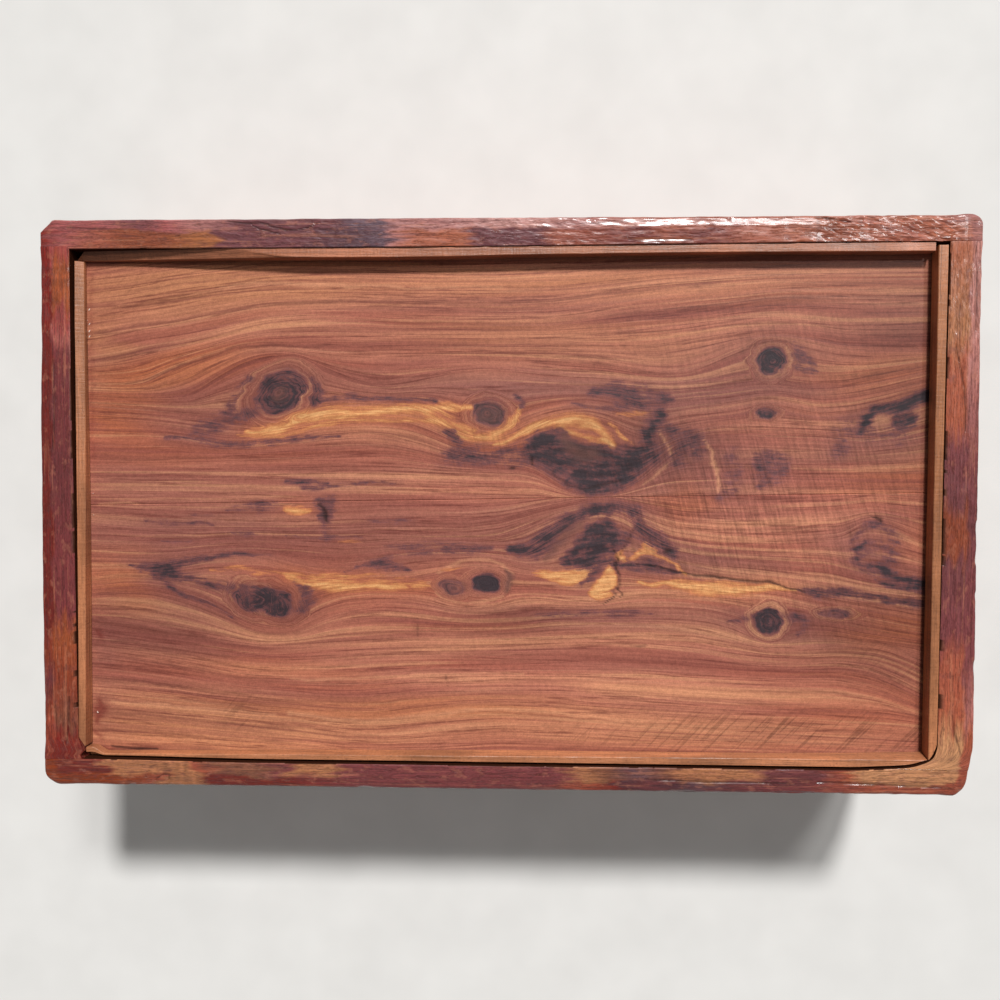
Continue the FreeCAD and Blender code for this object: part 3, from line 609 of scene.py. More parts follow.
# Dark heartwood and haze: strokes and patches, then how dark
SMOKE_STROKES = {
    "left_back_tail": (0.5, ((-131, 30.5, 1), (-124, 33, 3), (-117, 35.5, 3.4), (-110, 37, 2.4),
        (-104, 39, 2))),
    "left_back_crescent": (0.34, ((-106, 53, 1.4), (-111, 47.5, 1.8), (-114, 41, 1.8), (-116, 36, 1.6))),
    "left_back_right": (0.62, ((-79.5, 52, 1.4), (-77.6, 47.5, 2.3), (-79.6, 42.6, 1.8))),
    "left_back_under": (0.5, ((-142, 28.7, 0.6), (-132, 28.2, 1), (-122, 26, 1.5), (-112, 25, 1.4),
        (-100, 25.9, 1.2), (-88, 27, 1.2), (-78, 28.2, 1), (-68, 28.8, 0.6))),
    "over_gold": (0.5, ((-78, 43.6, 0.8), (-66, 44.7, 1.3), (-55, 45, 1.1), (-45, 44.6, 0.9),
        (-36, 44.2, 1.1), (-28, 43.8, 0.8))),
    "seam_back": (0.6, ((-91, 9.9, 0.7), (-82, 9.6, 1), (-74, 9.3, 0.5))),
    "seam_back_long": (0.55, ((-84, 6.9, 0.7), (-78, 7.3, 1.1), (-70, 8.3, 0.8), (-56, 9.3, 0.8),
        (-44, 9.1, 0.3))),
    "middle_back_spot": (0.55, ((-24, 30.5, 0.8), (-20.5, 28.4, 2), (-17.5, 26.4, 0.8))),
    "middle_back_low": (0.5, ((-23, 20.6, 0.8), (-16, 20.4, 1.6), (-8, 19.8, 1.2))),
    "middle_back_right": (0.6, ((5.6, 46, 0.7), (8, 43, 1.2), (7.4, 40.4, 0.7))),
    "cloud_back": (0.68, ((36, 46.8, 1.5), (44, 47.5, 2.8), (54, 46.5, 3.4), (64, 45, 3), (70, 44, 1.2))),
    "cloud_back_low": (0.45, ((28, 43, 0.6), (36, 41.2, 1), (44, 40.4, 1.5), (54, 41.5, 1.6),
        (64, 40, 1.6))),
    "fall_back": (0.85, ((66, 39, 1.6), (62, 34, 2.6), (60.5, 28, 3.4), (62, 22, 3.6), (63, 18.5, 1.6))),
    "veil_back": (0.6, ((69, 32, 2.2), (74, 27, 4.2), (73, 20, 3.4))),
    "veil_back_right": (0.5, ((77, 31, 1.6), (80.5, 27, 3), (80, 21, 2))),
    "right_back": (1.05, ((147.6, 31, 1), (149, 36, 1.5), (152.4, 39.3, 1.6), (157, 40.2, 1.7),
        (162, 40.9, 1.9), (168, 43.6, 2.2), (178, 46.4, 2.5), (190, 48, 2.4))),
    "right_back_blob": (0.85, ((161, 36, 1.6), (165, 34.6, 3.2), (168.4, 36, 1.6))),
    "right_back_haze": (0.34, ((138, 22, 3.5), (142, 32, 5), (150, 30, 4), (160, 28, 4))),
    "seam_lens": (0.45, ((-117, -2.6, 0.5), (-110, -1.8, 1.6), (-102, -1, 2.6), (-95, 0.6, 1.8))),
    "streak_front_1": (0.5, ((-151, -7.4, 0.5), (-142, -7.7, 1.1), (-130, -7.9, 0.8), (-122, -8, 0.3))),
    "streak_front_2": (0.4, ((-131, -4.2, 0.3), (-126, -4.3, 0.8), (-121, -4.1, 0.3))),
    "streak_front_3": (0.4, ((-145, -15.2, 0.3), (-139, -15.4, 0.8), (-131, -15.3, 0.3))),
    "streak_front_4": (0.45, ((-114, -11.6, 0.4), (-108, -11.8, 1.2), (-103, -12.4, 0.4))),
    "streak_front_5": (0.45, ((-56, -6.8, 0.4), (-46, -7, 1.1), (-38, -6.8, 0.5))),
    "streak_front_6": (0.4, ((-92, -13.2, 0.3), (-76, -13.9, 0.8), (-60, -13.2, 0.4))),
    "arrow_tip": (0.72, ((-158, -26, 0.5), (-151, -27, 1.9), (-145, -28.4, 3), (-139, -28.6, 2.6))),
    "arrow_upper": (0.6, ((-146, -26.2, 1.2), (-138, -24.9, 1.5), (-128, -23, 1.4), (-119, -21.4, 1),
        (-108, -20.6, 0.7), (-98, -20.5, 0.3))),
    "arrow_middle": (0.55, ((-142, -29.6, 1.6), (-132, -31.2, 1.8), (-122, -33.4, 1.6),
        (-115, -35.4, 1.8))),
    "arrow_lower": (0.5, ((-147, -30.8, 0.8), (-141, -34, 1), (-135, -37.8, 1), (-128, -40.6, 1),
        (-120, -44, 0.7), (-113, -48, 0.5))),
    "left_front_right": (0.55, ((-87, -33, 1.2), (-82.5, -36.5, 2.4), (-82, -40, 2.2),
        (-85, -44.5, 1.4))),
    "blue_front": (0.62, ((-58, -24.8, 0.5), (-51, -24.6, 1.5), (-44, -25.6, 1.6), (-39, -26.8, 0.4))),
    "blue_front_high": (0.4, ((-66, -27.8, 0.3), (-58, -24.3, 0.6), (-50, -22.3, 0.8),
        (-40, -20.8, 0.8), (-30, -19.8, 0.9))),
    "band_front": (0.42, ((-50, -17.5, 0.6), (-38, -17.6, 1.4), (-26, -17.8, 2.2), (-14, -18.2, 2.2),
        (-4, -17.8, 1))),
    "heart_front_tail": (0.9, ((4, -18, 1.4), (11, -18.6, 3.2), (17, -15, 3.6), (23, -9.5, 3),
        (30, -4.2, 2.4), (38, -1.5, 2.2))),
    "heart_front_top": (0.66, ((38, -2, 2), (46, -0.5, 2.2), (53, -1, 2.6), (57, -5, 2.4))),
    "heart_front_right": (0.72, ((56, -8, 1.5), (61, -12, 3.2), (67, -16.5, 3), (71, -20, 1.8))),
    "heart_front_low": (0.72, ((47, -24.5, 1.4), (54, -24.6, 2.2), (61, -24.4, 2.2), (67, -26, 1.8),
        (73, -27.4, 0.8))),
    "slash_front": (0.6, ((32.6, -33.6, 0.9), (36, -30.4, 1.4), (39.6, -26.6, 1.6), (44, -22.4, 1.3),
        (46, -19, 0.8))),
    "slash_front_high": (0.45, ((49, -17, 1.2), (52, -13, 2.4), (55, -9, 1.8))),
    "under_front": (0.42, ((12, -46.3, 0.4), (24, -45.2, 1), (36, -44.4, 1.2), (50, -44.8, 1.6),
        (62, -44.4, 0.6))),
    "purple_right": (0.66, ((122, -34, 0.5), (131, -35.6, 1.8), (140, -35.2, 1.6), (152, -37.4, 1.4),
        (164, -39.2, 1.5), (178, -40.6, 1.8), (190, -41, 1.6))),
    "small_front_left": (0.5, ((93, -47.6, 0.4), (99, -47, 1.2), (103, -46.5, 1.6))),
    "small_front_tail": (0.5, ((117, -45.5, 1.6), (121, -46.5, 2.2), (125, -49, 1.8), (122, -53, 1))),
    "swirl_right": (0.6, ((149, -15, 0.8), (146, -18, 1.6), (147, -23, 2.2), (152, -26.6, 1.8))),
    "swirl_right_top": (0.4, ((143.6, -14, 1), (150, -8, 1.4), (157, -7.6, 1.4), (162, -12, 1.8),
        (161, -19, 1.4))),
    "swirl_right_heart": (0.95, ((151, -23.6, 1), (155, -25, 1.5), (160, -28, 1.9), (167, -30, 1.9),
        (176, -32.6, 2), (190, -35, 1.8))),
    "swirl_right_low": (0.6, ((154, -30.6, 0.6), (161, -32.6, 1.2), (169, -33.6, 1), (178, -35.2, 0.8))),
    "swirl_right_fill": (0.3, ((150, -18, 4), (156, -16, 4.4), (160, -22, 3.6))),
}
SMOKE_PATCHES = {
    "heart_back": (0.9, 3.2, ((9, 21), (11, 27), (16, 30.4), (23, 31), (28, 28.6), (34, 26.8),
        (41, 25), (46, 22.6), (52, 24.6), (58, 24), (60, 20), (57, 13), (51, 8.4), (45, 5.8),
        (38, 4.6), (31, 6.2), (25, 9.6), (19, 14.6), (13, 18))),
    "haze_back": (0.36, 3.5, ((-28, 18), (-20, 25), (-5, 24.4), (6, 26), (12, 22), (8, 16.4),
        (-10, 16.6), (-22, 17))),
    "striped_back": (0.42, 2.2, ((118.6, 66.5), (122.5, 66.5), (128.6, 57.5), (127.4, 54.4),
        (120.6, 54.4))),
    "brushed_back": (0.55, 3, ((104.4, 22), (116.6, 21), (117, 12), (110, 8), (104.8, 9))),
    "brushed_back_left": (0.36, 3, ((92, 23), (98, 23), (98.5, 8), (94, 2), (88, 3), (91, 12))),
    "heart_front": (0.96, 2.6, ((24, -23.6), (28.6, -18), (33.6, -11), (39, -6.6), (45, -6),
        (48.6, -10), (48, -17), (44.6, -20.6), (40, -23.6), (33, -25.6))),
    "triangle_front": (0.55, 2.2, ((-78.6, 3), (-69.6, 3), (-71, -4), (-73.2, -11), (-74, -15),
        (-75, -11), (-77.4, -4))),
}

# Brown hearts inside the dark parts
BROWN_STROKES = {
    "left_back_core": (0.6, ((-94.6, 44, 1.2), (-93, 46, 2), (-92, 48, 1.2))),
    "heart_back_brown": (0.75, ((25.6, 29.4, 1.2), (28, 24.6, 2.6), (32.6, 21.4, 3), (37.6, 21.6, 2.2))),
    "heart_front_brown": (0.65, ((18, -22, 1.2), (22.6, -17, 2), (27, -12, 2.4), (33, -8, 1.6))),
    "middle_back_core": (0.4, ((-9, 37, 1.4), (-4, 38, 2.6), (-1, 39, 1.6))),
    "crescent_front": (0.9, ((0.4, -26.6, 0.5), (2.4, -29, 1.2), (3, -32, 1.5), (1.6, -35.4, 0.8))),
}

# Pale lines: light rings, scratches and fresh wood between the dark grain
PALE_STROKES = {
    "small_back_halo": (0.55, ((116.6, 65.6, 0.5), (118.4, 62, 0.9), (118.2, 57.6, 0.6))),
    "left_back_swirl": (0.6, ((-80.2, 52.4, 0.4), (-82.4, 47.4, 0.6), (-86.4, 42.6, 0.6),
        (-92, 39.6, 0.4))),
    "left_front_ring": (0.5, ((-103, -30.6, 0.3), (-109, -31.6, 0.4), (-111.4, -35, 0.4),
        (-110.6, -39, 0.3))),
    "left_front_ring_2": (0.4, ((-106, -29.8, 0.3), (-112.6, -31.6, 0.4), (-114.8, -36, 0.4),
        (-113.6, -40.6, 0.3))),
    "middle_front_ring": (0.6, ((-28.6, -36.6, 0.3), (-24, -39.8, 0.4), (-15, -40.9, 0.4),
        (-6, -40, 0.4), (-0.6, -37.6, 0.3))),
    "middle_front_over": (0.55, ((-27.6, -28.4, 0.4), (-20, -24.4, 0.5), (-12, -22.4, 0.5),
        (-5, -22.8, 0.5), (0.4, -26, 0.4), (4, -28, 0.4))),
    "scratch_back_1": (0.7, ((64.6, 32.4, 0.2), (68, 26, 0.5), (71, 18.6, 0.5), (72.4, 15.6, 0.2))),
    "scratch_back_2": (0.75, ((82.6, 29.4, 0.2), (86, 22, 0.6), (88.4, 13, 0.6), (88.8, 6, 0.2))),
    "scratch_back_3": (0.5, ((77.6, 28.6, 0.2), (79.6, 22.4, 0.4))),
    "scratch_back_4": (0.5, ((59, 8.6, 0.3), (64, 13.6, 0.7), (69, 18, 0.4))),
    "crack_light_front": (0.75, ((162, -32, 0.2), (168, -32.8, 0.4), (175, -33.2, 0.3))),
    "island_back": (0.5, ((151.6, 34.6, 1), (154.6, 35.8, 2), (157, 35.4, 1))),
    "triangle_crack": (0.5, ((-75.6, 2.6, 0.4), (-75, -0.6, 0.3))),
    "low_front": (0.55, ((-90, -88, 0.5), (-78, -89.4, 0.7), (-65, -90.8, 0.7), (-50, -90.8, 0.7),
        (-38, -89.3, 0.6), (-18, -86.5, 0.6), (0, -85.8, 0.5), (20, -86.8, 0.6), (45, -88.8, 0.5),
        (72, -90.3, 0.3))),
    "middle_low_front": (0.5, ((-90, -73.2, 0.4), (-75, -73.6, 0.6), (-55, -72.8, 0.5),
        (-40, -71.6, 0.5), (-20, -70.6, 0.5), (8, -70.2, 0.4))),
    "high_back": (0.5, ((-118, 90.8, 0.3), (-100, 92.6, 0.5), (-80, 91.6, 0.6), (-60, 91.2, 0.6),
        (-30, 90.3, 0.4), (0, 90.2, 0.4))),
    "bottom_left": (0.45, ((-166, -84, 0.5), (-140, -85.8, 0.7), (-116, -87, 0.6), (-96, -88.8, 0.5))),
    "seam_light": (0.5, ((-171, 0.2, 0.4), (-163, 0.4, 0.5), (-153, 0.5, 0.3))),
}
PALE_RINGS = {
    "small_front_ring": (0.65, (109.8, -47.2), (7.2, 6.8), -10, 0.09),
    "small_back_ring": (0.25, (110.3, 60.2), (7.2, 7), 0, 0.08),
}

# Cracks and near-black specks
CRACKS = {
    "split_front": ((46.6, -19, 0.3), (47.6, -24, 0.5), (47.9, -29, 0.4), (47, -35, 0.4),
        (44.8, -38.6, 0.3), (42, -40.4, 0.2)),
    "split_front_branch": ((48, -33.6, 0.2), (49.6, -35.6, 0.4), (48.4, -37.8, 0.2)),
    "seam_of_gold": ((55, -23.8, 0.2), (66, -25.6, 0.3), (76, -27.6, 0.4), (85, -28.9, 0.5),
        (94, -30.1, 0.4), (104, -31, 0.4), (112, -31.8, 0.5), (119, -33.6, 0.5), (125, -35.2, 0.3)),
    "cross_front": ((44.5, -24.4, 0.2), (48, -21, 0.3), (51, -16, 0.3), (54, -10, 0.2)),
    "speck_front": ((68, -18.4, 0.9), (69.2, -18.8, 0.8)),
    "speck_seam": ((3.2, 16.2, 0.6), (4.4, 16, 0.4)),
    "speck_haze": ((12.8, 20, 0.5), (13.2, 17.4, 0.5)),
    "triangle_heart": ((-76.4, 0.8, 0.5), (-74.6, -3.6, 0.9), (-73.4, -7, 0.4)),
    "swirl_speck": ((152.6, -3.6, 0.4), (154.4, -4.6, 0.8), (155.6, -6, 0.4)),
    "heart_back_rim": ((20, 14.6, 0.3), (26, 9.6, 0.5), (33, 7.4, 0.4), (42, 8.6, 0.5), (50, 10.6, 0.4)),
    "nick_front": ((-35.2, -48, 0.15), (-35, -54, 0.35), (-35.4, -58.4, 0.2)),
    "nick_front_2": ((-22.6, -71, 0.15), (-22.7, -79, 0.15)),
    "lens_low_front": ((52, -57.6, 0.2), (56, -58, 0.5), (60, -58.1, 0.2)),
    "left_low_front": ((-167, -102.6, 0.3), (-158, -104, 0.6), (-146, -104.2, 0.3)),
}
CRACK_DEPTH = {
    "default": 0.85, "lens_low_front": 0.5, "nick_front": 0.5, "nick_front_2": 0.35,
    "heart_back_rim": 0.5, "cross_front": 0.6,
}

# Beads of glue squeezed out beside the batten, tinted near white as a painted highlight on their glossy
# tops, and what the glue has stained
GLUE_BEAD_AND_GLINT_SIZE = 0.45
GLUE_BEADS_AND_GLINTS = (
    (-173.9, 81.8), (-174.4, 77.2), (-173.8, 75.8), (-174, 72.8), (-173.9, 70.6), (-173.4, 4.6),
    (-172.7, -4.6), (-172.6, -86.6), (-172.3, -88.4),
)
STAINS = {
    "low_1": (0.8, ((-171.8, -83.5, 1.2), (-171, -88, 2), (-171.6, -92.5, 1))),
    "low_2": (0.65, ((-172.2, -54, 0.8), (-170.4, -55.6, 1.4))),
    "foot": (0.6, ((-173.4, -97.5, 0.9), (-170.6, -99.4, 0.9))),
    "below_foot": (0.7, ((-173.6, -103.6, 0.7), (-166, -104.2, 0.5))),
    "high": (0.3, ((-173, 20, 0.6), (-173, 60, 0.8), (-173, 96, 0.8))),
}

# Grain lines that stand out: which grain line of the board, from x to x, half width, darkness, and
# how far beside the grain line
BACK_LINES = (
    (11, -177, -100, 0.7, 0.75, 0), (11, -100, 0, 0.55, 0.6, 0), (11, 0, 92, 0.6, 0.6, 0),
    (10, -175, -132, 1.4, 0.55, 0.2), (10, -132, 40, 0.5, 0.35, 0), (10, 40, 130, 0.7, 0.55, 0),
    (9, -150, -70, 0.7, 0.8, 0), (9, -60, 90, 0.5, 0.4, 0), (8, -135, -60, 0.45, 0.6, 0),
    (8, -20, 88, 0.5, 0.5, 0), (8, 92, 122, 0.8, 0.7, 0), (7, -132, -84, 0.5, 0.55, 0),
    (7, -80, -30, 0.4, 0.35, 0), (6, -177, -125, 0.7, 0.5, 0), (13, -157, -60, 0.6, 0.55, 0),
    (12, -177, -120, 0.6, 0.55, 0), (12, -60, 60, 0.4, 0.35, 0), (3, -177, -100, 0.6, 0.5, 0),
    (2, -90, 20, 0.5, 0.45, 0), (1, -60, 10, 0.6, 0.5, 0), (4, -60, -20, 0.4, 0.4, 0),
    (10, -60, 30, 0.5, 0.3, -2.6), (11, -40, 30, 0.6, 0.35, -2.2), (9, 130, 190, 0.7, 0.4, 1),
    (10, 120, 190, 0.9, 0.4, 0.2), (7, 140, 175, 0.5, 0.5, 0), (5, 160, 190, 0.6, 0.4, -2),
    (5, 158, 190, 0.5, 0.45, -5), (5, 164, 190, 0.5, 0.4, -8), (1, 100, 178, 0.35, 0.5, -0.6),
)
FRONT_LINES = (
    (4, -177, -86, 0.8, 0.85, 0), (4, -86, -40, 0.5, 0.5, 0), (7, -177, -138, 0.7, 0.7, 0),
    (7, -150, -120, 1.6, 0.45, -0.6), (6, -172, -110, 0.7, 0.65, 0), (5, -170, -96, 0.8, 0.6, 0),
    (3, -170, -100, 0.5, 0.5, 0), (2, -170, -86, 0.8, 0.6, 0), (1, -172, -90, 0.8, 0.6, 0),
    (8, -130, -82, 0.6, 0.55, 0), (8, -70, 20, 0.5, 0.5, 0), (9, -92, -75, 0.5, 0.45, 0),
    (7, -120, -96, 0.7, 0.5, -1.6), (6, -90, 0, 0.5, 0.4, 0), (7, -60, 0, 0.5, 0.4, 1.2),
    (4, -20, 160, 0.4, 0.35, 0), (5, 100, 190, 0.6, 0.45, -4), (2, -80, -50, 1, 0.45, 0),
    (7, 130, 190, 0.6, 0.4, 3), (7, 140, 190, 0.4, 0.6, 0), (6, 150, 190, 0.5, 0.65, 0),
    (6, 155, 190, 0.4, 0.5, 2.4), (6, 150, 190, 0.4, 0.5, -2.6), (5, 150, 190, 0.4, 0.5, 0.6),
    (3, 0, 90, 0.45, 0.45, -1), (2, 60, 190, 0.6, 0.4, 0), (1, 20, 190, 0.7, 0.4, 0),
    (14, -60, 20, 0.7, 0.4, 0), (13, -100, -50, 0.6, 0.4, 0), (8, -177, -150, 0.7, 0.4, 0),
    (0, -160, -120, 1.6, 0.5, 8.6), (3, 100, 190, 0.5, 0.4, 0), (2, 100, 190, 0.5, 0.5, 3),
)

# Broad tones, as ovals: place, half sizes, turn, strength
TONES = {
    "tan": (((-130, 92), (60, 14), 6, 0.5), ((-120, -95), (70, 12), -4, 0.6), ((0, 93),
        (120, 8), 0, 0.5), ((-30, -86), (60, 5), 0, 0.35), ((60, -95), (90, 10), -2, 0.35),
        ((-168, 65), (9, 10), 0, 0.4), ((20, 70), (60, 8), 0, 0.3)),
    "orange": (((-140, 56), (30, 7), 12, 0.7), ((-158, 36), (18, 9), 0, 0.65), ((-165, -30),
        (12, 12), 0, 0.6), ((76, 4), (10, 9), 0, 0.6), ((160, 52), (24, 10), 0, 0.35), ((160, -50),
        (20, 7), 0, 0.6), ((155, -84), (36, 12), 0, 0.25), ((158, 12), (26, 9), 0, 0.4), ((-40, -86),
        (60, 4), 0, 0.3), ((-100, -70), (50, 4), -5, 0.25), ((168, -14), (10, 9), 0, 0.4), ((-130, 20),
        (30, 5), 0, 0.3)),
    "mauve": (((-155, -4), (40, 16), 0, 0.35), ((-150, -58), (34, 9), -6, 0.4), ((-120, 10),
        (60, 8), 0, 0.3), ((20, 50), (40, 6), -4, 0.7), ((85, 46), (34, 8), 0, 0.7), ((-50, -10),
        (70, 12), 0, 0.45), ((40, -46), (60, 5), 0, 0.5), ((80, -22), (34, 7), -8, 0.7), ((-20, 48),
        (34, 5), 0, 0.4), ((150, 24), (26, 9), 10, 0.5), ((60, -64), (60, 4), 0, 0.25), ((120, -50),
        (34, 8), 0, 0.55), ((-130, 40), (20, 12), 0, 0.4), ((152, -14), (20, 14), 0, 0.5),
        ((-130, -14), (60, 10), 0, 0.4), ((60, 18), (26, 18), 0, 0.6), ((100, 14), (24, 14), 0, 0.55),
        ((-6, 14), (30, 5), 0, 0.3), ((-130, -40), (24, 14), 0, 0.4), ((105, 60), (30, 12), 0, 0.45),
        ((165, 74), (24, 10), 0, 0.3), ((30, -14), (36, 14), 0, 0.4), ((-172, -60), (8, 40), 0, 0.35),
        ((-60, 52), (40, 5), 0, 0.35)),
    "deep": (((170, 62), (26, 46), 0, 0.75), ((120, 60), (26, 30), 0, 0.3), ((160, -52),
        (38, 18), 0, 0.8), ((-152, -46), (36, 18), 0, 0.5), ((-92, -46), (24, 12), 0, 0.4), ((8, 28),
        (60, 9), 0, 0.35), ((-105, 50), (28, 16), 0, 0.3), ((64, 24), (22, 14), 0, 0.5), ((6, -50),
        (26, 6), 0, 0.5), ((-160, 50), (20, 16), 0, 0.3)),
    "light": (((30, -78), (84, 14), 0, 0.7), ((0, 94), (84, 8), 0, 1), ((-14, 4), (30, 10), 0, 0.6),
        ((-125, -98), (56, 7), 0, 0.6), ((0, 52), (24, 6), 0, 0.4), ((130, 6), (30, 12), 0, 0.4)),
    "saw": (((130, -94), (60, 9), 0, 1), ((70, -97), (40, 6), 0, 0.7), ((-112, -88), (10, 8), 0, 0.5),
        ((165, -64), (16, 14), 0, 0.3), ((-150, 92), (20, 6), 0, 0.3)),
    "brush": (((90, 4), (40, 32), 0, 1), ((140, 8), (36, 36), 0, 0.7), ((-8, 24), (24, 8), 0, 0.4),
        ((130, -40), (40, 16), 0, 0.5), ((110, 70), (60, 20), 0, 0.4), ((0, 0), (190, 100), 0, 0.15)),
}

# The figure above was measured slightly large. It is drawn to this scale about the camera's foot.
FIGURE_SCALE = 0.9954
LID_STATION = 0.85
LID_ROWS = 186
LID_UNDER_STATION = 6.0
LID_NOSE_ROUND = 1.2
SEAM_EASE = 0.3
SEAM_STEP = 0.0028
# How deep the grain, the cracks and the knots lie
LID_RELIEF, CRACK_RELIEF, KNOT_RELIEF = 0.05, 0.06, 0.05
GRAIN_PLACES = np.arange(-185.0, 196.0)
GRAIN_BLUR, GRAIN_BLUR_REACH = 4.0, 9
# How the figure wavers: layers of (depth, size along x, size along y, seed)
FIGURE_WAVER_X = ((1.1, 6.0, 2.5, 11), (0.5, 2.2, 1.1, 12))
FIGURE_WAVER_Y = ((0.6, 8.0, 3.0, 13), (0.3, 2.5, 1.2, 14))
TONE_WAVER_X = ((9, 30, 6, 31),)
TONE_WAVER_Y = ((2.5, 40, 4, 32), (1.2, 20, 1.5, 33))
FIGURE_STROKES = {"gold": GOLD_STROKES, "smoke": SMOKE_STROKES, "brown": BROWN_STROKES,
                  "pale": PALE_STROKES}
# Colour that surrounds a kind of stroke: which, its share, and how much wider than the stroke it is
HALOS = {"gold": ("orange", 0.3, 2.0, 1.5), "smoke": ("mauve", 0.4, 1.5, 2.0)}


def follow_grain(x, y, guides):
    """The grain's phase in millimetres at each place: equal along each grain line."""
    blur = np.exp(-(np.arange(-GRAIN_BLUR_REACH, GRAIN_BLUR_REACH + 1) / GRAIN_BLUR) ** 2)
    rows, phases = [], []
    for guide in guides:
        line = np.interp(GRAIN_PLACES, *np.array(guide, float).T)
        padded = np.pad(line, GRAIN_BLUR_REACH, mode="edge")
        rows.append(np.convolve(padded, blur / blur.sum(), mode="valid"))
        phases.append(line.mean())
    rows = np.array(rows)
    column = np.clip(x - GRAIN_PLACES[0], 0, len(GRAIN_PLACES) - 1.001)
    left = column.astype(int)
    share = column - left
    lines = rows[:, left] * (1 - share) + rows[:, left + 1] * share
    below = np.clip((lines < y).sum(axis=0) - 1, 0, len(guides) - 2)
    low = np.take_along_axis(lines, below[None], 0)[0]
    high = np.take_along_axis(lines, below[None] + 1, 0)[0]
    phases = np.array(phases)
    phase = phases[below] + (y - low) / (high - low) * (phases[below + 1] - phases[below])
    return phase, lines


def lid_marks(x, y, guides, bold_lines):
    """All that the lid's finish reads: the grain's phase and where each kind of figure lies."""
    x = CAMERA_PLACE[0] + (x - CAMERA_PLACE[0]) / FIGURE_SCALE
    y = CAMERA_PLACE[1] + (y - CAMERA_PLACE[1]) / FIGURE_SCALE
    phase, lines = follow_grain(x, y, guides)
    wx, wy = x + ripples(x, y, FIGURE_WAVER_X), y + ripples(x, y, FIGURE_WAVER_Y)
    names = (*FIGURE_STROKES, *TONES, "crack", "line", "glue_and_glint", "stain_and_gap_shade")
    marks = {name: np.zeros(x.shape) for name in names}

    def add(name, mask):
        marks[name] = 1 - (1 - marks[name]) * (1 - np.clip(mask, 0, 1))

    for name, strokes in FIGURE_STROKES.items():
        for strength, points in strokes.values():
            add(name, strength * stroke(wx, wy, points))
            if name in HALOS:
                halo, share, wider, more = HALOS[name]
                wide = [(px, py, wider * half + more) for px, py, half in points]
                add(halo, share * strength * stroke(wx, wy, wide))
    for strength, outline in GOLD_PATCHES.values():
        add("gold", strength * patch(wx, wy, outline, 1.2))
    for strength, soft, outline in SMOKE_PATCHES.values():
        add("smoke", strength * patch(wx, wy, outline, soft))
    for strength, at, half_size, turn, width in PALE_RINGS.values():
        reach = oval_reach(wx, wy, at, half_size, turn)
        add("pale", strength * np.exp(-((reach - 1) / width) ** 2))
    for name, points in CRACKS.items():
        depth = CRACK_DEPTH.get(name, CRACK_DEPTH["default"])
        add("crack", depth * stroke(wx, wy, points))
    # The glue beads' mask, which also places their painted highlight
    for at in GLUE_BEADS_AND_GLINTS:
        add("glue_and_glint", oval(x, y, at, (GLUE_BEAD_AND_GLINT_SIZE, GLUE_BEAD_AND_GLINT_SIZE), 0.0, 0.6))
    for strength, points in STAINS.values():
        add("stain_and_gap_shade", strength * stroke(wx, wy, points))
    for at, half_size, turn, heart, brown in KNOTS.values():
        reach = oval_reach(wx, wy, at, half_size, turn)
        inside = 1 - smooth(reach, 0.78, 1.12)
        around = np.clip(1 - (reach - 1) / 0.8, 0, 1) ** 2
        ring = 0.5 + 0.5 * np.sin(reach * half_size[1] * 2.2)
        add("smoke", inside * heart)
        add("mauve", around * 0.5)
        add("line", around * (1 - inside) * 0.28 * ring)
        add("brown", brown * inside * (0.4 + 0.6 * ring))
        near = 1 - smooth(reach, 1.1, 1.7)
        phase = phase * (1 - near) + (phase * 0.5 + reach * half_size[1] * 0.9) * near
    for index, start, end, half_width, darkness, beside in bold_lines:
        distance = np.abs(wy - lines[index] - beside) / half_width
        along = band(x, start - 5, start + 8, end - 8, end + 5)
        uneven = 0.75 + 0.25 * ripple(x, y, 14, 6, 20 + index)
        add("line", darkness * along * uneven * np.exp(-distance ** 2))
    tone_x, tone_y = x + ripples(x, phase, TONE_WAVER_X), y + ripples(x, phase, TONE_WAVER_Y)
    for name, ovals in TONES.items():
        for at, half_size, turn, strength in ovals:
            add(name, strength * oval(tone_x, tone_y, at, half_size, turn, 0.8))
    # The figure's dark lines don't cross gold or knots.
    marks["line"] *= 1 - 0.8 * np.clip(marks["gold"] + marks["smoke"], 0, 1)
    marks["gold"] *= 1 - 0.8 * smooth(marks["smoke"], 0.6, 0.95)
    marks["grain"] = phase
    return marks


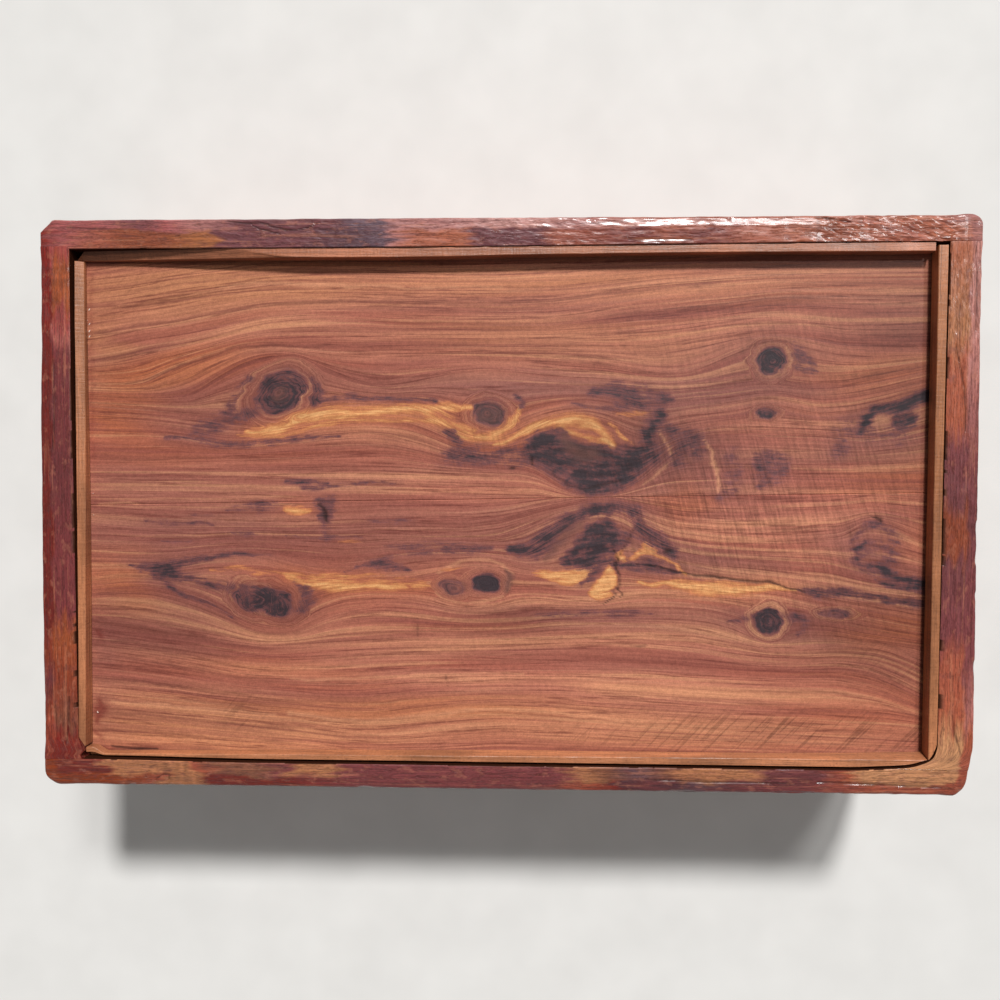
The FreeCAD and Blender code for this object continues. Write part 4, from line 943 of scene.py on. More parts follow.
def make_lid_board(node, guides, bold_lines, corner_cut):
    """One lid board: a dense top that carries the figure, and plain sides and underside."""
    low, high = node_box(node)
    side = 1 if "back" in node else -1
    edge = high[1] if side > 0 else low[1]
    top, base = high[2], low[2]
    seam = SEAM_AT_CLOSED_END, SEAM_AT_SLOT_END
    top_x = np.arange(low[0], high[0] - LID_NOSE_ROUND, LID_STATION)
    turn = np.linspace(0, math.pi / 2, 5)
    nose_x = high[0] - LID_NOSE_ROUND + LID_NOSE_ROUND * np.sin(turn)
    nose_z = LID_NOSE_ROUND * (1 - np.cos(turn))
    under_x = np.arange(high[0] - LID_NOSE_ROUND, low[0], -LID_UNDER_STATION)
    xs = np.concatenate([top_x, nose_x, nose_x[::-1], under_x, [low[0]]])
    zs = np.concatenate([np.full(len(top_x), top), top - nose_z, base + nose_z[::-1],
                         np.full(len(under_x) + 1, base)])
    upper = np.zeros(len(xs), bool)
    upper[:len(top_x)] = True
    share = np.concatenate([[0.0, SEAM_STEP], np.linspace(SEAM_STEP, 1, LID_ROWS)[1:]])
    outer = edge - side * corner_cut * (1 - np.clip((xs - low[0]) / corner_cut, 0, 1))
    inner = np.interp(xs, (low[0], high[0]), seam)
    ys = inner[:, None] + share[None] * (outer - inner)[:, None]
    x = np.repeat(xs[:, None], len(share), 1)
    z = np.repeat(zs[:, None], len(share), 1)
    marks = lid_marks(x, ys, guides, bold_lines)
    relief = (LID_RELIEF * (1 + ripple(x, marks["grain"], 60, 1.6, 41)) / 2
              + CRACK_RELIEF * marks["crack"] + KNOT_RELIEF * marks["smoke"])
    z = np.where(upper[:, None], z - relief, z)
    z[upper, 0] = top - SEAM_EASE
    points = np.stack([x, ys, z], -1).reshape(-1, 3)
    stations, rows = len(xs), len(share)
    s, r = np.meshgrid(np.arange(stations), np.arange(rows - 1), indexing="ij")
    after = (s + 1) % stations
    quads = np.stack([s * rows + r, after * rows + r, after * rows + r + 1, s * rows + r + 1], -1)
    seam_side = [i * rows for i in range(stations)]
    outer_side = [i * rows + rows - 1 for i in range(stations)]
    end_grain = np.zeros((stations, rows - 1), int)
    end_grain[xs > high[0] - LID_NOSE_ROUND * 0.7] = 1
    end_grain[-1] = 1
    return new_piece(node.replace("lid_board", "figured_lid_board"), points,
                     quads.reshape(-1, 4).tolist() + [seam_side, outer_side], "lid", node,
                     marks, (figured_cedar, lid_end_grain), end_grain.ravel().tolist() + [0, 0])


SEAM_AT_CLOSED_END = node_box("lid_board_back")[0][1]
SEAM_AT_SLOT_END = node_box("lid_board_front")[1][1]
figured_cedar = lid_finish()
lid_end_grain = end_grain_finish("cedar_end_grain", (176, 108, 80))
make_lid_board("lid_board_back", BACK_GRAIN, BACK_LINES, 6.0)
make_lid_board("lid_board_front", FRONT_GRAIN, FRONT_LINES, 4.0)


# The rim: four walls whose top edges are sanded by hand and thickly varnished

RIM_ROUND, RIM_ROUND_AT_ENDS = 1.5, 0.8
RIM_SLOPE, RIM_SLOPE_WIDTH = 0.19, 4.4
INNER_X = -node_box("closed_end_wall")[1][0]
INNER_Y = node_box("back_wall")[0][1]
BASE_EASE = 1.0
WHOLE_WIDTH = 99
# Where a wall's sections stand near its ends, how far in that goes, and how far apart they are between
WALL_END_STATIONS = np.array((0, 0.08, 0.25, 0.55, 1.0, 1.6, 2.3, 3.1, 4.0, 5.0, 6.2))
WALL_ENDS = 7
WALL_STATION = 0.65
# Its rows of points: on its top, in from its outer edge; on its inner face and high on its outer
# face, down from its top; low on its outer face, how far apart; low on its inner face, their heights
TOP_ROWS = (0.12, 0.35, 0.65, 1.0, 1.4, 1.8, *np.arange(2.25, 12.6, 0.5))
INNER_ROWS = (0, 0.7, 1.8, 3.4, 5.0)
SIDE_HIGH_ROWS = np.linspace(12, 2.15, 10)
SIDE_LOW_ROWS = 8
INNER_LOW_ROWS = (60, 30)
# The varnish's unevenness and its lumps, and how the lanes of wood below it waver: layers of
# (depth, size along the wall, size round it, which noise)
VARNISH_RIPPLES = ((0.1, 13, 3.2, 0), (0.06, 5.5, 1.3, 9), (0.03, 2.6, 1.1, 13))
LANE_WAVER = ((3.0, 9, 2.6, 3), (4.5, 14, 1.0, 4))
LANE_EDGE_WAVER = ((1.5, 14, 3, 5), (0.8, 3.5, 1.2, 11))
LANE_EDGE = (4.0, 5.8)
FLAT_LUMPS, HIGH_LUMPS = 0.03, 0.36
CHIP_DEPTH = 0.35
RIM_CRACK_DEPTH = 0.25
GROOVE_DEPTH = 5.0
GROOVE_GAP = 0.4
FACE_INSET = 0.04
RIM_CORNERS = {(-1, 1): ("cut", 5.2), (1, 1): ("round", 4.2), (-1, -1): ("round", 6.6),
               (1, -1): ("oval", 7.0)}
OVAL_CORNER_ALONG = 9.4
# Beside the batten's foot the varnish runs down the closed end's inner face
VARNISHED_BELOW = -84.0

WOODS = {
    "pink": (158, 84, 82), "rose": (170, 112, 106), "rose_pale": (192, 138, 130), "red": (128, 44, 36),
    "brick": (158, 86, 66), "dark_red": (112, 44, 38), "plum": (110, 62, 66), "slate": (102, 78, 88),
    "night": (84, 54, 62), "mauve": (122, 66, 70), "orange": (160, 96, 58), "amber": (134, 62, 30),
    "brown": (136, 70, 46), "tan": (172, 122, 86), "pale": (192, 146, 106), "moss": (124, 84, 66),
    # The dark umber below is painted shade for the gaps on the walls' bare inner faces
    "clay": (166, 92, 66), "stain_and_gap_shade": (72, 44, 28),
}
# How far each wall's inner top edge is worn down
INNER_EDGE_EASE = {"back_wall": 0.3, "front_wall": 0.4, "closed_end_wall": 0.4, "slot_end_rail": 0.35}
# Along each wall's top: a lane at its outer edge and one at its inner edge, with the colour of the
# wood from place to place (X for the long walls, Y for the end walls)
RIM_LANES = {
    "back_wall": (((-190, "red"), (-186, "pink"), (-165, "pink"), (-150, "plum"), (-138, "pink"),
        (-120, "rose"), (-106, "plum"), (-72, "plum"), (-62, "slate"), (-49, "slate"), (-44, "rose"),
        (-20, "rose"), (4, "rose_pale"), (30, "rose"), (55, "brick"), (100, "brick"), (125, "clay"),
        (145, "brick"), (168, "clay"), (190, "rose")), ((-190, "red"), (-182, "pink"), (-168, "brick"),
        (-155, "brown"), (-138, "brown"), (-128, "orange"), (-119, "orange"), (-116, "plum"),
        (-85, "plum"), (-64, "night"), (-49, "slate"), (-44, "rose"), (-36, "clay"), (-14, "clay"),
        (-9, "plum"), (14, "plum"), (22, "brick"), (56, "dark_red"), (66, "brick"), (84, "dark_red"),
        (95, "brick"), (120, "clay"), (130, "brown"), (144, "clay"), (160, "brick"), (172, "clay"),
        (190, "clay"))),
    "front_wall": (((-190, "amber"), (-158, "amber"), (-150, "brown"), (-143, "brick"), (-138, "tan"),
        (-127, "tan"), (-122, "dark_red"), (-88, "dark_red"), (-60, "mauve"), (20, "mauve"),
        (34, "brick"), (45, "red"), (49, "night"), (62, "plum"), (68, "night"), (84, "slate"),
        (92, "plum"), (120, "mauve"), (150, "brick"), (178, "brick"), (190, "brick")),
        ((-190, "amber"), (-181, "dark_red"), (-167, "dark_red"), (-163, "tan"), (-144, "tan"),
        (-142, "moss"), (-140, "tan"), (-127, "tan"), (-123, "brick"), (-116, "moss"), (-100, "moss"),
        (-90, "mauve"), (-85, "tan"), (-72, "tan"), (-66, "mauve"), (22, "mauve"), (32, "tan"),
        (46, "moss"), (54, "slate"), (68, "moss"), (72, "tan"), (103, "tan"), (109, "plum"),
        (128, "plum"), (138, "clay"), (146, "pale"), (190, "pale"))),
    "closed_end_wall": (((-117, "amber"), (-104, "dark_red"), (-94, "brick"), (-88, "brown"),
        (-74, "plum"), (-60, "brown"), (-47, "dark_red"), (60, "dark_red"), (80, "red"), (106, "red"),
        (117, "pink")), ((-117, "amber"), (-103, "dark_red"), (-96, "red"), (-91, "moss"),
        (-74, "brown"), (-52, "orange"), (-46, "mauve"), (-20, "mauve"), (10, "plum"), (64, "mauve"),
        (71, "rose"), (78, "pink"), (83, "orange"), (97, "orange"), (103, "pink"), (117, "pink"))),
    "slot_end_rail": (((-117, "brick"), (-104, "brick"), (-96, "clay"), (-84, "rose"), (-62, "mauve"),
        (-30, "mauve"), (-10, "plum"), (20, "mauve"), (45, "rose"), (80, "rose_pale"),
        (104, "rose_pale"), (117, "rose")), ((-117, "brick"), (-112, "pale"), (-96, "pale"),
        (-86, "clay"), (-62, "brick"), (-50, "mauve"), (-24, "plum"), (-19, "brown"), (-3, "brown"),
        (5, "plum"), (24, "mauve"), (32, "clay"), (58, "clay"), (72, "tan"), (117, "clay"))),
}
# A tone over each wall's top, as shares of red, green and blue
RIM_TONE = {
    "back_wall": (1.14, 1.12, 1.12), "front_wall": (1.04, 0.85, 0.78),
    "closed_end_wall": (1.04, 0.7, 0.64), "slot_end_rail": (1.14, 0.97, 0.9),
}
# Dark cracks in the tops: (along the wall, in from its outer edge, half width)
RIM_CRACKS = {
    "back_wall": (((-112, 1.2, 0.2), (-104, 2.4, 0.4), (-98, 2.2, 0.3), (-92, 4.2, 0.45),
        (-86, 5.2, 0.3), (-80, 4.4, 0.3), (-74, 2.4, 0.2)), ((-101, 3.4, 0.2), (-96, 5.4, 0.35),
        (-90, 6.8, 0.2)), ((50, 9.6, 0.3), (62, 9.9, 0.5), (76, 10, 0.3)), ((-178, 3.6, 0.15),
        (-168, 4.2, 0.3), (-160, 4.6, 0.15)), ((124, 0.6, 0.3), (131, 2.2, 0.5), (138, 3.4, 0.3))),
    "front_wall": (((60, 5.6, 0.2), (80, 5, 0.3), (100, 4.8, 0.3), (118, 4.6, 0.2)), ((128, 5.2, 0.2),
        (150, 4.8, 0.35), (170, 4, 0.3), (184, 3.4, 0.2)), ((-143, 3.4, 0.2), (-139, 5.4, 0.3),
        (-137, 3.2, 0.2))),
    "closed_end_wall": (((-100, 9.4, 0.3), (-90, 10.4, 0.4), (-80, 10.6, 0.3)), ((20, 5, 0.2),
        (40, 6, 0.3), (60, 5.6, 0.2))),
    "slot_end_rail": (((30, 5.6, 0.2), (46, 6.4, 0.35), (65, 10, 0.2)), ((-100, 5, 0.2),
        (-92, 7.6, 0.4), (-84, 9, 0.2)), ((70, 2.4, 0.3), (90, 2.2, 0.35), (104, 2.8, 0.2))),
}
# Where torn grain crosses the top in short stripes: from, to
TORN = {
    "back_wall": (120, 146), "front_wall": (-146, -126), "closed_end_wall": (82, 98),
    "slot_end_rail": (-112, -100),
}
# Where the varnish stands in lumps that catch the light: from, to, and how strongly
LUMPS = {
    "back_wall": ((-120, -50, 0.25), (-10, 40, 0.3), (126, 186, 1)),
    "front_wall": ((-140, -75, 0.15), (100, 186, 0.35)),
    "closed_end_wall": ((-98, -76, 0.9), (80, 100, 0.2)),
    "slot_end_rail": ((60, 117, 0.5), (-30, 40, 0.15)),
}


def depth_inside(x, y):
    """How far a place lies inside the box's outline, seen from above."""
    depth = np.minimum(BOX_HIGH[0] - np.abs(x), BOX_HIGH[1] - np.abs(y))
    for (x_side, y_side), (kind, size) in RIM_CORNERS.items():
        across, up = BOX_HIGH[0] - x_side * x, BOX_HIGH[1] - y_side * y
        if kind == "round":
            corner = size - np.hypot(size - across, size - up)
            depth = np.where((across < size) & (up < size), corner, depth)
        elif kind == "oval":
            a = np.clip(1 - across / size, 0, 1) ** 2
            b = np.clip(1 - up / OVAL_CORNER_ALONG, 0, 1) ** 2
            mean_size = (a * size + b * OVAL_CORNER_ALONG) / np.maximum(a + b, 1e-9)
            corner = (1 - np.sqrt(a + b)) * mean_size
            depth = np.where((across < size) & (up < OVAL_CORNER_ALONG), corner, depth)
        else:
            depth = np.minimum(depth, (across + up - size) / math.sqrt(2))
    return depth


def edge_drop(x, y, depth):
    """How far the rim's top falls towards its outer edge: a soft slope, then a small round."""
    at_end = smooth(BOX_HIGH[1] - np.abs(y) - BOX_HIGH[0] + np.abs(x), -3, 4)
    worn_down = np.where(y > 0, 0.25 + 0.75 * band(x, 20, 76, 127, 130), 0.75)
    slope = RIM_SLOPE * worn_down * (1 - at_end) * np.clip(RIM_SLOPE_WIDTH - depth, 0, None)
    radius = RIM_ROUND + (RIM_ROUND_AT_ENDS - RIM_ROUND) * at_end
    left = np.clip(radius - depth, 0, radius)
    return slope + radius - np.sqrt(radius ** 2 - left ** 2)


def sanded_in(x, y, z):
    """How far the rim's ends are sanded in along X: more at the front right corner."""
    front = 2.3 * smooth(x, 176, BOX_HIGH[0]) * smooth(-y, 96, 109)
    back = 0.9 * smooth(-x, 176, BOX_HIGH[0]) * smooth(y, 30, 90)
    return (back - front) * smooth(z, RIM_TOP - 18, RIM_TOP - 4)


def outline_y(x, y_side):
    """The outer face of a long wall, which curves in at the box's corners."""
    y = np.full(np.shape(x), BOX_HIGH[1])
    for x_side in (-1, 1):
        kind, size = RIM_CORNERS[(x_side, y_side)]
        across = np.clip(BOX_HIGH[0] - x_side * x, 0, size)
        inset = size - across if kind == "cut" else size - np.sqrt(size ** 2 - (size - across) ** 2)
        if kind == "oval":
            inset = inset * OVAL_CORNER_ALONG / size
        y = y - inset
    return y_side * y


def wood(name):
    return np.array(rgb(*WOODS[name])[:3])


def lane_colour(stops, along):
    """The wood's colour along a wall, between the places where it is given."""
    places = [place for place, _ in stops]
    colours = np.array([wood(name) for _, name in stops])
    return np.stack([np.interp(along, places, colours[:, c]) for c in range(3)], -1)


def make_wall(node, axis, side, inner_face=None, groove=True):
    """A wall swept along its length. Its top and outer edge are uneven, and inside the box's outline."""
    low, high = node_box(node)
    start, end = low[axis], high[axis]
    between = np.arange(start + WALL_ENDS, end - WALL_ENDS, WALL_STATION)
    along = np.concatenate([start + WALL_END_STATIONS, between, (end - WALL_END_STATIONS)[::-1]])
    if groove:
        floor_end = node_box("floor_board_back")[1][axis] + GROOVE_GAP
        if floor_end < end:
            along = np.sort(np.concatenate([along, [-floor_end - 0.01, -floor_end,
                                                    floor_end, floor_end + 0.01]]))
    inner = (high if side < 0 else low)[1 - axis] * np.ones(len(along))
    if inner_face is not None:
        inner = inner_face(along)
    outer = outline_y(along, side) if axis == 0 else np.full(len(along), side * BOX_HIGH[0])
    outer = outer - side * FACE_INSET
    top, base = high[2], low[2]
    edge_ease = INNER_EDGE_EASE[node]
    width = np.abs(outer - inner)
    across, height, kinds = [], [], []

    def row(inset, z, kind):
        most = np.abs(outer - inner) - (edge_ease if kind == "top" else 0.0)
        across.append(outer - side * np.minimum(inset, most))
        height.append(np.full(len(along), z))
        kinds.append(kind)

    for inset in (BASE_EASE, 0.0) if groove else (0.0,):
        row(inset, base, "base")
    low_rows = np.arange(base + SIDE_LOW_ROWS, top - SIDE_HIGH_ROWS[0], SIDE_LOW_ROWS)
    for z in (*low_rows, *(top - SIDE_HIGH_ROWS)):
        if z > base + 0.5:
            row(0.0, z, "side")
    for inset in TOP_ROWS:
        row(inset, top, "top")
    for down in INNER_ROWS:
        row(WHOLE_WIDTH, top - down, "inside")
    floor_low, floor_high = node_box("floor_board_middle")
    if groove and inner_face is not None:
        row(WHOLE_WIDTH, LID_TOP + 0.3, "inside")
        inner = side * (INNER_X if axis else INNER_Y) * np.ones(len(along))
        row(WHOLE_WIDTH, LID_TOP + 0.29, "inside")
    if groove:
        for z in INNER_LOW_ROWS:
            row(WHOLE_WIDTH, z, "inside")
        for z, depth in ((floor_high[2], 0), (floor_high[2], GROOVE_DEPTH),
                         (floor_low[2], GROOVE_DEPTH), (floor_low[2], 0)):
            row(WHOLE_WIDTH, z, "inside")
            cut = depth * (np.abs(along) <= floor_end + 0.005)
            across[-1] = inner + side * cut
    row(WHOLE_WIDTH, base, "inside")
    u = np.repeat(along[:, None], len(across), 1)
    v, z = np.stack(across, -1), np.stack(height, -1)
    kinds = np.array(kinds)
    x, y = (u, v) if axis == 0 else (v, u)
    depth = depth_inside(x, y)
    on_top, on_side = kinds == "top", kinds == "side"
    on_inside_edge = (kinds == "inside") & (np.arange(len(kinds)) == np.argmax(kinds == "inside"))
    near_top = on_top | on_inside_edge
    z = np.where(near_top[None], z - edge_drop(x, y, depth), z)
    if groove:
        z = np.where((kinds == "base")[None], base + np.clip(BASE_EASE - depth, 0, BASE_EASE), z)
    edge_row = np.argmax(on_inside_edge)
    girth = np.abs(v - v[:, edge_row, None]) + (top - z) * np.where(kinds == "inside", -1, 1)[None]
    lumps = np.zeros(u.shape)
    for first, last, strength in LUMPS[node]:
        inside = band(u, first - 6, first + 6, last - 6, last + 6)
        lumps = np.maximum(lumps, strength * inside)
    seed = 50 + 7 * (axis * 2 + (side > 0))
    slanted = u + 1.4 * girth
    rough = sum(layer[0] for layer in VARNISH_RIPPLES) + ripples(u, girth, VARNISH_RIPPLES, seed)
    lumpy = 0.5 + 0.5 * ripple(slanted, girth, 3.0, 1.7, seed + 1)
    rough += lumpy * (FLAT_LUMPS + HIGH_LUMPS * lumps)
    cracks = np.zeros(u.shape)
    crooked = u + 0.8 * ripple(u, girth, 3, 1.5, seed + 10)
    for points in RIM_CRACKS[node]:
        cracks = np.maximum(cracks, stroke(crooked, depth, points))
    cracks *= (on_top | on_side)[None]
    rough += RIM_CRACK_DEPTH * cracks
    chips = smooth(ripple(u, girth, 7, 3.5, seed + 2), 0.55, 0.95) * CHIP_DEPTH
    at_outer_edge = np.clip(1 - np.abs(depth - 0.8) / 2.2, 0, 1)
    at_inner_edge = np.clip(1 - (width[:, None] - depth) / 1.2, 0, 1)
    rough += chips * np.clip(at_outer_edge + at_inner_edge, 0, 1)
    corner_joint = BOX_HIGH[0] - 6 if axis == 0 else INNER_Y
    rough *= smooth(np.abs(np.abs(u) - corner_joint), 0, 7)
    fade = smooth(z, top - 14, top - 3)
    z = np.where(near_top[None], z - rough, z)
    inward = np.where(on_side[None], np.minimum(rough, 0.3) * fade, 0)
    inward = np.where(on_top[None], rough * np.clip(1 - depth / RIM_ROUND, 0, 1), inward)
    v = v - side * inward
    z = z - np.where(on_inside_edge[None], edge_ease * 0.9, 0)
    below_edge = (kinds == "inside") & ~on_inside_edge
    edge_z = z[:, edge_row, None] - 0.04 * np.cumsum(below_edge)[None]
    z = np.where(below_edge[None], np.minimum(z, edge_z), z)
    x, y = (u, v) if axis == 0 else (v, u)

    wavy = u + ripples(u, girth, LANE_WAVER, seed)
    outer_lane, inner_lane = (lane_colour(stops, wavy) for stops in RIM_LANES[node])
    share = smooth(depth + ripples(u, girth, LANE_EDGE_WAVER, seed), *LANE_EDGE)[..., None]
    colour = (outer_lane * (1 - share) + inner_lane * share) * np.array(RIM_TONE[node])
    torn_from, torn_to = TORN[node]
    torn = band(u, torn_from - 3, torn_from + 3, torn_to - 3, torn_to + 3)
    colour *= (1 + 0.32 * torn * ripple(u, girth, 1.7, 7, seed + 12))[..., None]
    colour *= 1 - 0.6 * cracks[..., None]
    figure = ripple(u, z, 110, 10, seed + 6)[..., None]
    stripe = ripple(u, z, 60, 2.2, seed + 7)[..., None]
    plain = wood("brick") * (1 + 0.18 * stripe)
    plain = plain + np.clip(figure, 0, 1) * (wood("mauve") - plain)
    plain = plain + np.clip(-figure * 1.6 - 0.5, 0, 1) * (wood("pale") - plain)
    low_down = (1 - smooth(z + 5 * ripple(u, z, 40, 9, seed + 8), top - 26, top - 6))[..., None]
    colour = colour * (1 - low_down) + plain * low_down
    bare = (kinds == "inside")[None] & (z < top - 0.6)
    if node == "closed_end_wall":
        bare &= u > VARNISHED_BELOW
    # Painted shade: the bare inner faces are dark umber in their top 6 to 7.5 mm, for the shade in the
    # narrow gaps beside the strips and batten; lower down they are clay
    gap_shade = smooth(z, top - 7.5, top - 6.0)[..., None]
    bare_wood_and_gap_shade = wood("clay") * (1 + 0.15 * stripe) * (1 - gap_shade) + wood("stain_and_gap_shade") * gap_shade
    colour = np.where(bare[..., None], bare_wood_and_gap_shade, colour)
    x = x + sanded_in(x, y, z)
    points = np.stack([x, y, z], -1).reshape(-1, 3)
    faces = swept_faces(len(along), len(kinds))
    marks = {"run": u, "girth": girth, "lumps": lumps * fade * (~bare),
             "red": colour[..., 0], "green": colour[..., 1], "blue": colour[..., 2],
             "bare": np.where(bare, 1.0, 0.0), "gap_shade": bare * gap_shade[..., 0]}
    return new_piece("varnished_" + node, points, faces, "box", node, marks,
                     (varnished_cedar,))


def varnish_finish():
    """Painted-on varnish over mottled cedar: uneven, glossy, with lumps, pits and fine cracks."""
    f = Finish("varnished_cedar")
    run, girth = f.mark("run"), f.mark("girth")
    red, green, blue = f.mark("red"), f.mark("green"), f.mark("blue")
    base = f.node("ShaderNodeCombineColor", {0: red, 1: green, 2: blue}).outputs[0]
    bands = f.noise(run, 40, girth, 1.4, 1.7, 4, 0.62)
    fine = f.noise(run, 9, girth, 0.5, 4.2, 3, 0.6)
    blotch = f.noise(run, 5, girth, 3, 7.9, 3, 0.6)
    flecks = f.noise(run, 1.5, girth, 0.7, 2.9, 3, 0.65)
    base = f.tints(base, (bands, 0.5, 0.66, 0.35, (96, 40, 34)),
                   (bands, 0.44, 0.32, 0.35, (200, 128, 96)),
                   (blotch, 0.54, 0.7, 0.4, (110, 54, 52)),
                   (blotch, 0.46, 0.32, 0.3, (186, 120, 96)))
    split = f.threads(f.noise(run, 16, girth, 1.1, 8.8, 4, 0.68))
    base = f.mix(f.times(split, 0.35), base, rgb(74, 30, 26))
    # Painted shade: the shaded tops of the bare inner faces are darkened further
    base = f.mix(f.times(f.mark("gap_shade"), 0.9), base, rgb(52, 24, 12))
    worn = f.times(f.step(fine, 0.25, 0.75, 0.88, 1.12), f.step(flecks, 0.25, 0.75, 0.86, 1.14))
    colour = f.shade(base, worn)
    slanted = f.plus(run, f.times(girth, 1.5))
    ooze = f.noise(run, 10, girth, 1.6, 3.3, 3, 0.55)
    pimples = f.noise(slanted, 3.0, girth, 1.8, 5.9, 2, 0.5)
    lumps = f.mark("lumps")
    height = f.times(ooze, f.plus(f.times(lumps, 0.5), 0.12))
    height = f.plus(height, f.times(pimples, f.times(lumps, 0.6)))
    height = f.plus(height, f.times(flecks, 0.06))
    height = f.plus(height, f.times(split, -0.08))
    bare = f.mark("bare")
    rough = f.plus(f.step(blotch, 0.3, 0.7, 0.3, 0.5), f.times(bare, 0.3))
    return f.finish(colour, rough, f.bump(height, 1.1, 0.8), Coat_Roughness=0.16,
                    Coat_Weight=f.step(bare, 0.0, 1.0, 0.46, 0.0),
                    Specular_IOR_Level=f.step(bare, 0.0, 1.0, 0.4, 0.05))


# The rail's inner edge, as places (x, y): a long cove at the front end, then nearly straight
COVE_EDGE = curve_through(((158.0, -INNER_Y), (162.0, -105.6), (165.2, -105.2), (167.8, -104.6),
                           (171.5, -103.3), (174.2, -101.6), (175.8, -98.2), (176.2, -92.0),
                           (176.4, -57.0), (177.6, 83.0), (INNER_X, INNER_Y)))


def rail_inner_face(y):
    return np.interp(y, COVE_EDGE[:, 1], COVE_EDGE[:, 0])


def cove_edge(x):
    """How far the cove stands out from the front wall's inner face."""
    return np.interp(x, COVE_EDGE[:, 0], COVE_EDGE[:, 1]) + INNER_Y


def closed_end_inner_face(y):
    """The closed end's inner edge leans in towards the front, and bulges at the batten's foot."""
    places = (-INNER_Y, -104.2, -102.6, -97.4, -58, 0, 43, 74)
    edge = (-174.6, -175.2, -174.0, -176.25, -176.55, -176.9, -177.5, -177.65)
    return np.interp(y, places, edge)


def back_inner_face(x):
    """The back wall's top is slightly wider towards the closed end."""
    return INNER_Y - np.interp(x, (-60, 0, 40, 120), (1.0, 0.85, 0.6, 0.0))


def front_inner_face(x):
    """The front wall's inner top edge is cut back along the joint beside the strip."""
    return -INNER_Y - 0.75 * band(x, -168, -100, 140, 162)


LID_TOP = node_box("lid_board_front")[1][2]
varnished_cedar = varnish_finish()
make_wall("back_wall", 0, 1, back_inner_face)
make_wall("front_wall", 0, -1, front_inner_face)
make_wall("closed_end_wall", 1, -1, closed_end_inner_face)
make_wall("slot_end_rail", 1, 1, rail_inner_face, False)


# The strips and the batten, swept with the bevels and joints that the photograph shows

def sawn_finish(name, tint, along=0, glow=0.0):
    """Rough-sawn cedar with a thin coat: long bands, short saw ripples and brown specks."""
    f = Finish(name)
    run, side = (f.x, f.y) if along == 0 else (f.y, f.x)
    third = f.times(f.z, 1 / 1.1)
    bands = f.noise(run, 55, side, 1.0, third, 3, 0.6)
    tones = f.noise(run, 38, side, 9, f.times(f.z, 1 / 9), 3, 0.55)
    fibre = f.noise(run, 5, side, 0.4, f.times(f.z, 1 / 0.4), 3, 0.6)
    specks = f.noise(run, 1.1, side, 0.5, f.times(f.z, 1 / 0.5), 2, 0.6)
    ripples = f.noise(run, 0.9, side, 6, f.times(f.z, 1 / 6), 2)
    base = f.ramp(tones, (0.3, times_rgb(0.82, tint)), (0.5, rgb(*tint)), (0.68, times_rgb(1.13, tint)))
    base = f.mix(f.step(bands, 0.5, 0.66, 0.0, 0.55), base, times_rgb(0.66, tint))
    base = f.tints(base, (specks, 0.56, 0.68, 0.45, (112, 66, 46)))
    worn = f.times(f.step(fibre, 0.25, 0.75, 0.86, 1.12), f.step(ripples, 0.3, 0.7, 0.94, 1.05))
    colour = f.shade(base, worn)
    height = f.plus(f.times(fibre, 0.7), f.times(ripples, 0.6))
    height = f.plus(height, f.times(bands, 0.8))
    rough = f.step(tones, 0.3, 0.7, 0.38, 0.52)
    return f.finish(colour, rough, f.bump(height, 0.3, 0.7), Coat_Weight=glow, Coat_Roughness=0.2)


def dowel_finish():
    """Pale hardwood pegs: end grain rings and dark pores, under the walls' varnish."""
    f = Finish("dowel_wood")
    rings = f.noise(f.x, 0.7, f.z, 2.2, f.times(f.y, 1 / 30), 3)
    pores = f.noise(f.x, 0.25, f.z, 0.25, f.times(f.y, 1 / 4), 2)
    colour = f.ramp(rings, (0.35, rgb(158, 116, 78)), (0.6, rgb(196, 154, 108)))
    colour = f.tints(colour, (pores, 0.56, 0.68, 0.5, (104, 68, 42)))
    return f.finish(colour, 0.35, f.bump(pores, 0.1), Coat_Weight=0.4, Coat_Roughness=0.2)


STRIP_STATION = 1.2
STRIP_EASE = 0.22
STRIP_WEAR = 0.12
STRIP_RIPPLES = ((0.35, 9, 1.3, 0), (0.15, 2.5, 0.9, 1))
SLANT_REACH = 24


